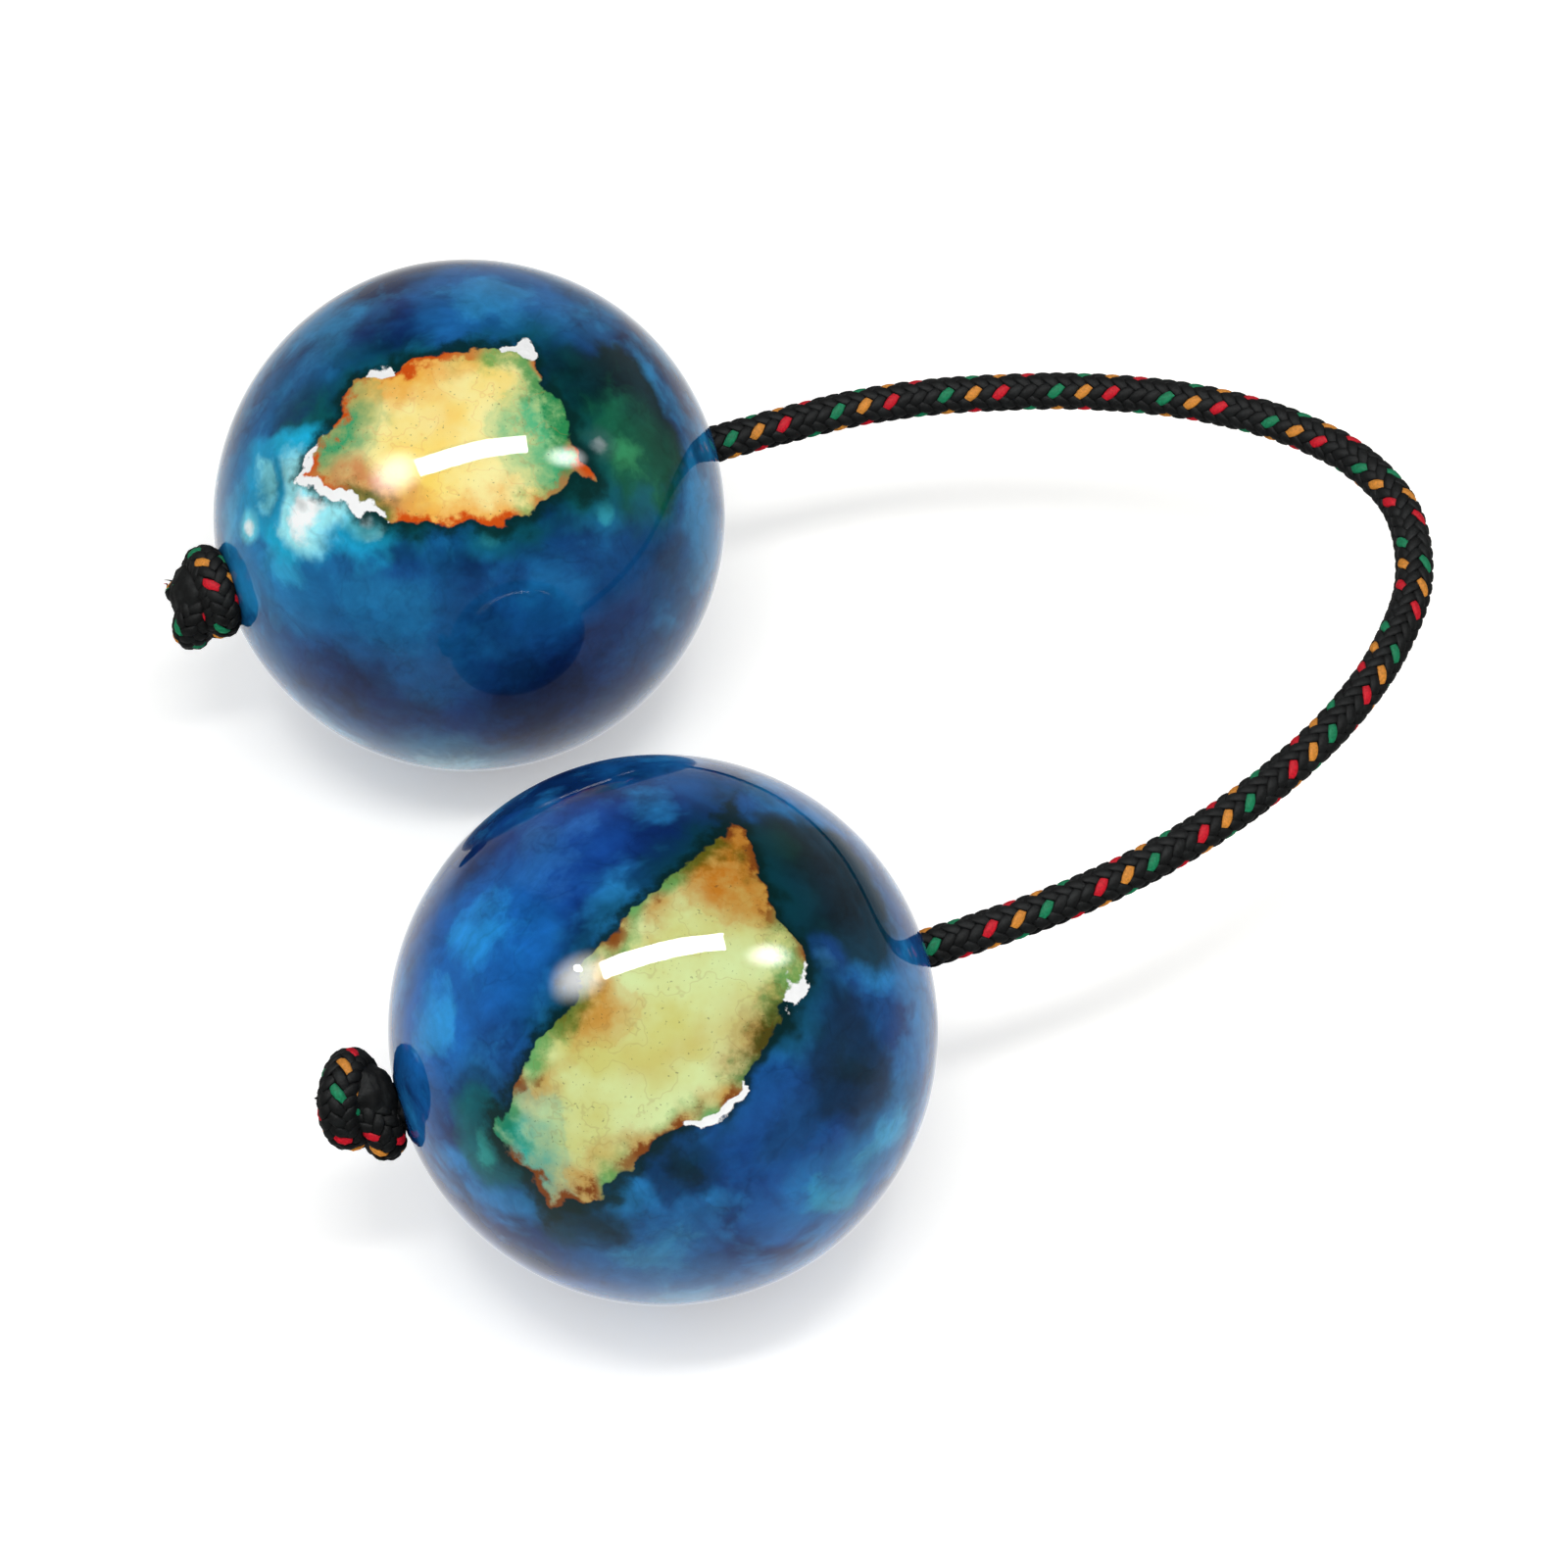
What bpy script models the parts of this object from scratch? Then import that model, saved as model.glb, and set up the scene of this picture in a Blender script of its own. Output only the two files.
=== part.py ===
"""A kashaka: two hollow gourd rattles on one braided cord.

The cord runs through a bore in each gourd, a stopper knot holds it on the far
side, and loose seeds lie inside. Units are metres and +Z is up. The origin is
on the resting surface, midway between the gourds. The rear gourd lies at +Y,
the front gourd at -Y, and the bores rise a little towards the loop at +X.
"""
import math
from bisect import bisect_right

import bmesh
import bpy
from mathutils import Matrix, Quaternion, Vector

# Gourds
GOURD_DIAMETER = 0.056
SHELL_WALL = 0.003
GOURD_SPACING = 0.0725
BORE_RISE = math.radians(4.2)
HOLE_CHAMFER = 0.0006
REST_FLAT_DIAMETER = 0.010
REST_CUTTER_HEIGHT = 0.004

# Cord
CORD_DIAMETER = 0.004
KNOTTED_CORD_DIAMETER = 0.0022
FLEX_PIVOTS = 5
CLEARANCE = 0.0003

# Loose seeds
SEED_LENGTH = 0.006
SEED_WIDTH = 0.005
SEED_THICKNESS = 0.0044
SEEDS_IN_EACH_GOURD = 12
SEED_STEP = 0.0042

# The loop's route: metres out from a gourd's pole, then the share of half the
# spacing, from 1 on the rear bore to -1 on the front bore.
LOOP_ROUTE = [
    (0.0000, 1.000), (0.0080, 0.995), (0.0165, 0.980), (0.0245, 0.940),
    (0.0320, 0.880), (0.0395, 0.805), (0.0470, 0.705), (0.0540, 0.580),
    (0.0602, 0.425), (0.0650, 0.235), (0.0670, 0.000), (0.0645, -0.260),
    (0.0585, -0.475), (0.0515, -0.635), (0.0440, -0.757), (0.0362, -0.852),
    (0.0285, -0.920), (0.0208, -0.965), (0.0130, -0.990), (0.0055, -0.999),
    (0.0000, -1.000),
]

# An overhand stopper knot pressed against each pole: metres out from the pole,
# then across and up. It starts inside the hole, at its seat's depth.
KNOT_SEAT_DEPTH = 0.0015
REAR_KNOT_ROUTE = [
    (-KNOT_SEAT_DEPTH, 0.0000, 0.0000), (0.0002, -0.0005, 0.0006), (0.0013, -0.0016, 0.0020),
    (0.0023, -0.0027, 0.0028), (0.0033, -0.0036, 0.0024), (0.0042, -0.0041, 0.0012),
    (0.0047, -0.0038, -0.0006), (0.0045, -0.0027, -0.0022), (0.0037, -0.0009, -0.0027),
    (0.0029, 0.0007, -0.0018), (0.0022, 0.0015, 0.0000), (0.0019, 0.0013, 0.0019),
    (0.0017, 0.0005, 0.0039), (0.0013, -0.0009, 0.0052), (0.0011, -0.0030, 0.0054),
    (0.0010, -0.0047, 0.0042), (0.0011, -0.0053, 0.0024), (0.0013, -0.0047, 0.0007),
    (0.0018, -0.0035, -0.0004), (0.0024, -0.0023, -0.0004), (0.0032, -0.0015, 0.0001),
    (0.0037, -0.0008, 0.0010), (0.0042, -0.0003, 0.0019), (0.0045, 0.0004, 0.0029),
]
FRONT_KNOT_ROUTE = [
    (-KNOT_SEAT_DEPTH, 0.0000, 0.0000), (0.0004, 0.0002, 0.0000), (0.0017, 0.0007, -0.0003),
    (0.0033, 0.0006, -0.0005), (0.0045, -0.0003, -0.0002), (0.0055, -0.0010, 0.0008),
    (0.0060, -0.0010, 0.0027), (0.0058, -0.0002, 0.0045), (0.0049, 0.0014, 0.0055),
    (0.0040, 0.0031, 0.0049), (0.0032, 0.0041, 0.0033), (0.0029, 0.0042, 0.0012),
    (0.0027, 0.0039, -0.0010), (0.0023, 0.0029, -0.0027), (0.0022, 0.0008, -0.0034),
    (0.0021, -0.0011, -0.0026), (0.0022, -0.0021, -0.0009), (0.0024, -0.0018, 0.0010),
    (0.0030, -0.0008, 0.0022), (0.0037, 0.0005, 0.0024), (0.0046, 0.0014, 0.0021),
    (0.0052, 0.0019, 0.0024), (0.0058, 0.0024, 0.0029), (0.0062, 0.0030, 0.0034),
]

# Facets
SHELL_TURN_STEPS = 40
SHELL_ARC_STEPS = 20
CORD_BEVEL_RESOLUTION = 4
KNOT_BEVEL_RESOLUTION = 2
ROUTE_STEPS = 12
CORD_POINT_STEP = 2.0 * CORD_DIAMETER
KNOT_POINT_STEP = 0.0009
DOME_ANGLES = [math.radians(angle) for angle in (30.0, 60.0, 84.0)]
SEED_SEGMENTS = 10
SEED_RINGS = 7

GOLDEN_ANGLE = math.pi * (3.0 - math.sqrt(5.0))
GOURD_RADIUS = GOURD_DIAMETER / 2
CAVITY_RADIUS = GOURD_RADIUS - SHELL_WALL
CORD_RADIUS = CORD_DIAMETER / 2
HOLE_RADIUS = CORD_RADIUS + CLEARANCE
HALF_SPACING = GOURD_SPACING / 2
CENTRE_HEIGHT = math.sqrt(GOURD_RADIUS ** 2 - (REST_FLAT_DIAMETER / 2) ** 2)


def clear_scene():
    """Remove every object, so that the script gives the same result each run."""
    for item in list(bpy.data.objects):
        bpy.data.objects.remove(item)


def make_collection(name):
    """Make a collection in the scene."""
    collection = bpy.data.collections.new(name)
    bpy.context.scene.collection.children.link(collection)
    return collection


def make_material(name, colour, roughness):
    """Make a plain non-metal material."""
    material = bpy.data.materials.new(name)
    material.use_nodes = True
    shader = material.node_tree.nodes["Principled BSDF"]
    shader.inputs["Base Color"].default_value = (*colour, 1.0)
    shader.inputs["Roughness"].default_value = roughness
    shader.inputs["Metallic"].default_value = 0.0
    return material


def add_object(name, data, parent, material, collection):
    """Put a mesh or curve into the scene under its parent empty."""
    data.materials.append(material)
    item = bpy.data.objects.new(name, data)
    collection.objects.link(item)
    item.parent = parent
    return item


def add_axis_empty(name, place, collection):
    """Make an empty whose X axis points along the bores, towards the loop."""
    empty = bpy.data.objects.new(name, None)
    empty.location = place
    empty.rotation_euler = (0.0, -BORE_RISE, 0.0)
    collection.objects.link(empty)
    return empty


def catmull_rom(before, start, end, after, t):
    """Return the point at share t between start and end on a smooth curve."""
    linear = (end - before) * t
    square = (before * 2 - start * 5 + end * 4 - after) * t ** 2
    cubic = (start * 3 - before - end * 3 + after) * t ** 3
    return (start * 2 + linear + square + cubic) / 2


def smooth_curve(points):
    """Return a dense smooth curve through a route's own points."""
    first = points[0] * 2 - points[1]
    last = points[-1] * 2 - points[-2]
    knots = [first, *points, last]
    curve = []
    for before, start, end, after in zip(knots, knots[1:], knots[2:], knots[3:]):
        for step in range(ROUTE_STEPS):
            curve.append(catmull_rom(before, start, end, after, step / ROUTE_STEPS))
    curve.append(points[-1])
    return curve


def running_lengths(curve):
    """Return the length along a curve at each of its points."""
    lengths = [0.0]
    for start, end in zip(curve, curve[1:]):
        lengths.append(lengths[-1] + (end - start).length)
    return lengths


def place_along(curve, lengths, distance):
    """Return the point and the direction at a distance along a curve."""
    index = min(max(bisect_right(lengths, distance), 1), len(curve) - 1)
    start = curve[index - 1]
    end = curve[index]
    share = (distance - lengths[index - 1]) / (lengths[index] - lengths[index - 1])
    return start.lerp(end, share), (end - start).normalized()


def points_along(curve, lengths, start, end, spacing):
    """Return evenly spaced points between two distances along a curve."""
    count = max(1, round((end - start) / spacing))
    distances = [start + (end - start) * index / count for index in range(count + 1)]
    return [place_along(curve, lengths, distance)[0] for distance in distances]


def make_tube(name, points, radii, diameter, bevel_resolution):
    """Make a capped tube along points, with a share of its radius at each."""
    tube = bpy.data.curves.new(name, "CURVE")
    tube.dimensions = "3D"
    tube.bevel_depth = diameter / 2
    tube.bevel_resolution = bevel_resolution
    tube.use_fill_caps = True
    spline = tube.splines.new("POLY")
    spline.points.add(len(points) - 1)
    spline.use_smooth = True
    for control, place, radius in zip(spline.points, points, radii):
        control.co = (*place, 1.0)
        control.radius = radius
    return tube


def shell_profile():
    """Return the closed outline of the shell's wall, beside the bore's axis."""
    rim_radius = HOLE_RADIUS + HOLE_CHAMFER
    outer_start = math.asin(rim_radius / GOURD_RADIUS)
    inner_start = math.asin(HOLE_RADIUS / CAVITY_RADIUS)
    chamfer_x = GOURD_RADIUS * math.cos(outer_start) - HOLE_CHAMFER
    outline = []
    for step in range(SHELL_ARC_STEPS + 1):
        angle = outer_start + (math.pi - 2 * outer_start) * step / SHELL_ARC_STEPS
        outline.append((GOURD_RADIUS * math.cos(angle), GOURD_RADIUS * math.sin(angle)))
    outline.append((-chamfer_x, HOLE_RADIUS))
    for step in range(SHELL_ARC_STEPS, -1, -1):
        angle = inner_start + (math.pi - 2 * inner_start) * step / SHELL_ARC_STEPS
        outline.append((CAVITY_RADIUS * math.cos(angle), CAVITY_RADIUS * math.sin(angle)))
    outline.append((chamfer_x, HOLE_RADIUS))
    return outline


def add_rest_cutter(name, gourd_y, collection):
    """Make the block that cuts the rest flat under one gourd."""
    bpy.ops.mesh.primitive_cube_add(size=1.0)
    cutter = bpy.context.object
    cutter.name = name
    cutter.scale = (GOURD_RADIUS, GOURD_RADIUS, REST_CUTTER_HEIGHT)
    cutter.location = (0.0, gourd_y, -REST_CUTTER_HEIGHT / 2)
    cutter.hide_render = True
    cutter.display_type = "WIRE"
    for owner in list(cutter.users_collection):
        owner.objects.unlink(cutter)
    collection.objects.link(cutter)
    return cutter


def add_shell(name, bore, cutter, material, collection):
    """Turn the hollow gourd shell round its bore and cut its rest flat."""
    outline = shell_profile()
    mesh = bpy.data.meshes.new(name)
    vertices = [(x, y, 0.0) for x, y in outline]
    edges = [(index, (index + 1) % len(outline)) for index in range(len(outline))]
    mesh.from_pydata(vertices, edges, [])
    shell = add_object(name, mesh, bore, material, collection)
    turn = shell.modifiers.new("turn", "SCREW")
    turn.axis = "X"
    turn.angle = math.tau
    turn.steps = SHELL_TURN_STEPS
    turn.render_steps = SHELL_TURN_STEPS
    turn.use_merge_vertices = True
    turn.merge_threshold = 0.00001
    flat = shell.modifiers.new("rest flat", "BOOLEAN")
    flat.operation = "DIFFERENCE"
    flat.solver = "EXACT"
    flat.object = cutter
    return shell


def add_cord_core(name, bore, material, collection):
    """Make the straight stretch of cord inside one gourd, from its knot to the loop."""
    knot_end = GOURD_RADIUS - KNOT_SEAT_DEPTH - CLEARANCE
    ends = [Vector((-knot_end, 0.0, 0.0)), Vector((GOURD_RADIUS, 0.0, 0.0))]
    tube = make_tube(name, ends, [1.0, 1.0], CORD_DIAMETER, CORD_BEVEL_RESOLUTION)
    return add_object(name, tube, bore, material, collection)


def least_self_gap(curve, lengths, diameter):
    """Return the least gap between parts of a tube that aren't neighbours."""
    neighbour = 1.5 * math.pi * diameter / 2 + CLEARANCE
    gaps = []
    for index, point in enumerate(curve):
        for other in range(index + 1, len(curve)):
            if lengths[other] - lengths[index] > neighbour:
                gaps.append((point - curve[other]).length - diameter)
    return min(gaps)


def add_knot(name, bore, knot_route, material, collection):
    """Tie a stopper knot on the pole that faces away from the loop."""
    pole = Vector((-GOURD_RADIUS, 0.0, 0.0))
    route = [pole + Vector((-out, across, up)) for out, across, up in knot_route]
    curve = smooth_curve(route)
    lengths = running_lengths(curve)
    gap = least_self_gap(curve, lengths, KNOTTED_CORD_DIAMETER)
    print(f"{name}: {lengths[-1] * 1000:.1f} mm of cord, least gap to itself {gap * 1000:.2f} mm")
    points = points_along(curve, lengths, 0.0, lengths[-1], KNOT_POINT_STEP)
    tube = make_tube(name, points, [1.0] * len(points), KNOTTED_CORD_DIAMETER, KNOT_BEVEL_RESOLUTION)
    return add_object(name, tube, bore, material, collection)


def make_seed_mesh():
    """Make the one seed shape that every seed shares."""
    mesh = bpy.data.meshes.new("seed")
    shape = bmesh.new()
    size = Matrix.Diagonal((SEED_LENGTH, SEED_WIDTH, SEED_THICKNESS, 1.0))
    bmesh.ops.create_uvsphere(
        shape, u_segments=SEED_SEGMENTS, v_segments=SEED_RINGS, radius=0.5, matrix=size
    )
    shape.to_mesh(mesh)
    shape.free()
    mesh.shade_smooth()
    return mesh


def add_seeds(prefix, bore, seed_mesh, collection):
    """Lay the loose seeds in a round heap at the bottom of one gourd."""
    seat_radius = CAVITY_RADIUS - CLEARANCE - SEED_THICKNESS / 2
    for index in range(SEEDS_IN_EACH_GOURD):
        turn = index * GOLDEN_ANGLE
        reach = SEED_STEP * math.sqrt(index + 0.5) / seat_radius
        side = math.sin(reach)
        outward = Vector((side * math.cos(turn), side * math.sin(turn), -math.cos(reach)))
        seed = bpy.data.objects.new(f"{prefix}_seed_{index + 1:02d}", seed_mesh)
        seed.parent = bore
        seed.location = outward * seat_radius
        seed.rotation_mode = "QUATERNION"
        seed.rotation_quaternion = outward.to_track_quat("Z", "Y") @ Quaternion((0.0, 0.0, 1.0), turn)
        collection.objects.link(seed)


def add_loop(loop_plane, material, collection):
    """Make the loop as stretches that bend at pivots, each with a round far end."""
    route = [
        Vector((GOURD_RADIUS + out, share * HALF_SPACING, 0.0)) for out, share in LOOP_ROUTE
    ]
    curve = smooth_curve(route)
    lengths = running_lengths(curve)
    pivot_step = lengths[-1] / FLEX_PIVOTS
    pivots = [pivot_step * (index + 0.5) for index in range(FLEX_PIVOTS)]
    print(f"loop: {lengths[-1] * 1000:.1f} mm of cord between the gourds")
    for index in range(FLEX_PIVOTS + 1):
        is_first = index == 0
        is_last = index == FLEX_PIVOTS
        start = CLEARANCE if is_first else pivots[index - 1] + CORD_RADIUS + CLEARANCE
        end = lengths[-1] - CLEARANCE if is_last else pivots[index]
        points = points_along(curve, lengths, start, end, CORD_POINT_STEP)
        radii = [1.0] * len(points)
        if not is_last:
            tip, direction = place_along(curve, lengths, end)
            for angle in DOME_ANGLES:
                points.append(tip + direction * CORD_RADIUS * math.sin(angle))
                radii.append(math.cos(angle))
        origin = place_along(curve, lengths, 0.0 if is_first else pivots[index - 1])[0]
        name = f"cord_stretch_{index + 1}"
        places = [point - origin for point in points]
        tube = make_tube(name, places, radii, CORD_DIAMETER, CORD_BEVEL_RESOLUTION)
        stretch = add_object(name, tube, loop_plane, material, collection)
        stretch.location = origin


def main():
    """Build the kashaka."""
    clear_scene()
    parts = make_collection("kashaka")
    cutters = make_collection("kashaka_cutters")
    lacquer = make_material("blue_lacquered_shell", (0.02, 0.12, 0.34), 0.15)
    braid = make_material("black_braided_cord", (0.015, 0.017, 0.017), 0.8)
    seed_coat = make_material("dry_seed", (0.36, 0.22, 0.10), 0.55)
    seed_mesh = make_seed_mesh()
    seed_mesh.materials.append(seed_coat)
    sides = (
        ("rear", HALF_SPACING, REAR_KNOT_ROUTE),
        ("front", -HALF_SPACING, FRONT_KNOT_ROUTE),
    )
    for side, gourd_y, knot_route in sides:
        bore = add_axis_empty(f"{side}_bore", (0.0, gourd_y, CENTRE_HEIGHT), parts)
        cutter = add_rest_cutter(f"{side}_rest_cutter", gourd_y, cutters)
        add_shell(f"{side}_gourd_shell", bore, cutter, lacquer, parts)
        add_cord_core(f"{side}_cord_core", bore, braid, parts)
        add_knot(f"{side}_knot", bore, knot_route, braid, parts)
        add_seeds(side, bore, seed_mesh, parts)
    loop_plane = add_axis_empty("loop_plane", (0.0, 0.0, CENTRE_HEIGHT), parts)
    add_loop(loop_plane, braid, parts)


main()
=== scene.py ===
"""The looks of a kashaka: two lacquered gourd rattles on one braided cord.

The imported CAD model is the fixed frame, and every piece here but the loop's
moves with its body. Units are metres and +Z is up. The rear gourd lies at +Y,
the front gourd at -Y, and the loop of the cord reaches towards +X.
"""
import logging
import math
import random
from bisect import bisect_right
from dataclasses import dataclass, field
from enum import Enum
from operator import mul
from typing import Sequence, Union

import bmesh
import bpy
from bpy.types import Light, Material, Node, NodeSocket, NodeTree, Object, World
from mathutils import Matrix, Vector, noise


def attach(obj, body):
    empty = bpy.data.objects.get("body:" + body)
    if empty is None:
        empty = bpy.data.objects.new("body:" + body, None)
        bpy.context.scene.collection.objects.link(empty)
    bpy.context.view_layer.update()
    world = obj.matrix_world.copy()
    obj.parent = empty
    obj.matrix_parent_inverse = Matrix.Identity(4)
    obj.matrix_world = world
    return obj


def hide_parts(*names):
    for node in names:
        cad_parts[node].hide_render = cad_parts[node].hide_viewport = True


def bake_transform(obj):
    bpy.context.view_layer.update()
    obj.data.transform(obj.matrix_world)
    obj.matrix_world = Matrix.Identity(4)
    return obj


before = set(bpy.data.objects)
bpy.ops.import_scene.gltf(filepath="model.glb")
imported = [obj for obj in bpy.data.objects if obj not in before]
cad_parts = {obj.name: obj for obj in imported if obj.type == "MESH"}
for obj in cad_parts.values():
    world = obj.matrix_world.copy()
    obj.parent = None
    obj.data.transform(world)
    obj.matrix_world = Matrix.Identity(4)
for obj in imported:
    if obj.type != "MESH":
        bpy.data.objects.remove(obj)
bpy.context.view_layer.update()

log = logging.getLogger("kashaka")

Triple = tuple[float, float, float]
Tint = tuple[int, int, int]
Feed = Union[float, Sequence[float], "Wire"]

GOLDEN_ANGLE = math.pi * (3.0 - math.sqrt(5.0))
WHITE = (1.0, 1.0, 1.0, 1.0)


class Side(Enum):
    """The two ends of the cord, each with its gourd."""

    REAR = "rear"
    FRONT = "front"


class Ply(Enum):
    """The yarn colours of the braid, numbered as the mesh attribute stores them."""

    BLACK = 0
    GREEN = 1
    ORANGE = 2
    RED = 3


def dye(tint: Tint) -> tuple[float, float, float, float]:
    """Turn a screen colour into the linear colour that a shader takes.

    Args:
        tint: Red, green and blue from 0 to 255.

    Returns:
        The linear colour, with an alpha of 1.
    """
    channels = []
    for value in tint:
        share = value / 255.0
        low = share <= 0.04045
        channels.append(share / 12.92 if low else ((share + 0.055) / 1.055) ** 2.4)
    return (*channels, 1.0)


class Wire:
    """A node's output, which plain arithmetic joins to other values by new nodes."""

    def __init__(self, sheet: "NodeSheet", socket: NodeSocket) -> None:
        """Hold an output of one of the sheet's nodes."""
        self.sheet = sheet
        self.socket = socket

    def join(self, operation: str, first: Feed, second: Feed) -> "Wire":
        """Add one step of arithmetic, on vectors if this value is one.

        Args:
            operation: What the new node does.
            first: Its first value.
            second: Its second value.

        Returns:
            The result.
        """
        wide = self.socket.type in {"VECTOR", "RGBA"}
        kind = "ShaderNodeVectorMath" if wide else "ShaderNodeMath"
        return self.sheet.out(kind, {0: first, 1: second}, operation=operation)

    def __add__(self, other: Feed) -> "Wire":
        """Return the sum."""
        return self.join("ADD", self, other)

    def __sub__(self, other: Feed) -> "Wire":
        """Return the difference."""
        return self.join("SUBTRACT", self, other)

    def __rsub__(self, other: Feed) -> "Wire":
        """Return the difference from a plain number."""
        return self.join("SUBTRACT", other, self)

    def __mul__(self, other: Feed) -> "Wire":
        """Return the product."""
        return self.join("MULTIPLY", self, other)

    def __truediv__(self, other: Feed) -> "Wire":
        """Return the quotient."""
        return self.join("DIVIDE", self, other)

    def __abs__(self) -> "Wire":
        """Return the value without its sign."""
        return self.join("ABSOLUTE", self, 0.0)

    def scaled(self, amount: Feed) -> "Wire":
        """Return this vector times a number."""
        feeds = {0: self, "Scale": amount}
        return self.sheet.out("ShaderNodeVectorMath", feeds, operation="SCALE")


class NodeSheet:
    """Adds nodes to one tree and links them by plain calls."""

    def __init__(self, tree: NodeTree) -> None:
        """Work on this tree."""
        self.tree = tree

    def feed(self, socket: NodeSocket, value: Feed) -> None:
        """Link an input, or set its own value.

        Args:
            socket: The input to fill.
            value: Another node's output, a number or a row of numbers.
        """
        if isinstance(value, Wire):
            self.tree.links.new(value.socket, socket)
        else:
            socket.default_value = value

    def fill(self, node: Node, feeds: dict) -> None:
        """Feed several inputs of a node, by their names or indexes."""
        for key, value in feeds.items():
            self.feed(node.inputs[key], value)

    def add(self, kind: str, feeds: dict, **settings: object) -> Node:
        """Add one node.

        Args:
            kind: The node's type name.
            feeds: What each input gets, by the socket's name or index.
            settings: Properties to set on the node.

        Returns:
            The new node.
        """
        node = self.tree.nodes.new(kind)
        for key, value in settings.items():
            setattr(node, key, value)
        self.fill(node, feeds)
        return node

    def out(self, kind: str, feeds: dict, pick: Union[int, str] = 0, **settings: object) -> Wire:
        """Add one node and return one of its outputs."""
        return Wire(self, self.add(kind, feeds, **settings).outputs[pick])

    def math(self, operation: str, *values: Feed) -> Wire:
        """Return the result of a Math node."""
        return self.out("ShaderNodeMath", dict(enumerate(values)), operation=operation)

    def clamp(self, value: Wire) -> Wire:
        """Return a number, held between 0 and 1."""
        return self.out("ShaderNodeClamp", {0: value})

    def length(self, vector: Wire) -> Wire:
        """Return a vector's length."""
        return self.out("ShaderNodeVectorMath", {0: vector}, "Value", operation="LENGTH")

    def dot(self, first: Feed, second: Feed) -> Wire:
        """Return the dot product of two vectors."""
        feeds = {0: first, 1: second}
        return self.out("ShaderNodeVectorMath", feeds, "Value", operation="DOT_PRODUCT")

    def point(self, x: Feed, y: Feed, z: Feed) -> Wire:
        """Join three numbers to a vector."""
        return self.out("ShaderNodeCombineXYZ", {0: x, 1: y, 2: z})

    def split(self, vector: Wire) -> list[Wire]:
        """Return a vector's three numbers."""
        node = self.add("ShaderNodeSeparateXYZ", {0: vector})
        return [Wire(self, socket) for socket in node.outputs]

    def here(self) -> Wire:
        """Return the shaded place in its object's own axes."""
        return self.out("ShaderNodeTexCoord", {}, "Object")

    def ray(self, kind: str) -> Wire:
        """Return 1 for one kind of ray, and 0 for others."""
        return self.out("ShaderNodeLightPath", {}, f"Is {kind} Ray")

    def grain(self, place: Wire, scale: Feed, detail: float, roughness: float = 0.5,
              pick: int = 0) -> Wire:
        """Return noise from 0 to 1: a number, or three of them with a pick of 1."""
        feeds = {"Vector": place, "Scale": scale, "Detail": detail, "Roughness": roughness}
        return self.out("ShaderNodeTexNoise", feeds, pick)

    def waver(self, place: Wire, scale: float, amount: Feed, detail: float) -> Wire:
        """Return a shift by noise, which reaches half the amount each way."""
        return (self.grain(place, scale, detail, pick=1) - (0.5, 0.5, 0.5)).scaled(amount)

    def fade(self, value: Wire, start: Feed, end: Feed) -> Wire:
        """Return a smooth step: 0 at start and 1 at end."""
        feeds = {"Value": value, "From Min": start, "From Max": end}
        return self.out("ShaderNodeMapRange", feeds, interpolation_type="SMOOTHSTEP")

    def mix(self, share: Feed, first: Feed, second: Feed, blend: str = "MIX") -> Wire:
        """Return the mix of two colours."""
        feeds = {0: share, 6: first, 7: second}
        return self.out("ShaderNodeMix", feeds, 2, data_type="RGBA", blend_type=blend)

    def bump(self, height: Wire, strength: float, distance: float) -> Wire:
        """Return the normal of a surface that a height raises."""
        feeds = {"Strength": strength, "Distance": distance, "Height": height}
        return self.out("ShaderNodeBump", feeds)


class NodeGroup(NodeSheet):
    """A shared tree with named inputs and outputs."""

    kind: str = "ShaderNodeTree"

    def __init__(self, name: str, inputs: dict[str, Sequence[str]],
                 outputs: dict[str, Sequence[str]]) -> None:
        """Make the tree and its sockets.

        Args:
            name: The tree's name.
            inputs: The names of the inputs, by the type of socket.
            outputs: The names of the outputs, by the type of socket.
        """
        super().__init__(bpy.data.node_groups.new(name, self.kind))
        rows = [("INPUT", *row) for row in inputs.items()]
        rows += [("OUTPUT", *row) for row in outputs.items()]
        for way, sort, labels in rows:
            for label in labels:
                sockets = self.tree.interface
                sockets.new_socket(label, in_out=way, socket_type=f"NodeSocket{sort}")
        self.inputs = self.tree.nodes.new("NodeGroupInput").outputs
        self.results = self.tree.nodes.new("NodeGroupOutput").inputs

    def __getitem__(self, name: str) -> Wire:
        """Return one of the group's inputs."""
        return Wire(self, self.inputs[name])

    def give(self, name: str, value: Wire) -> None:
        """Send a value to one of the group's outputs."""
        self.feed(self.results[name], value)


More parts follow.
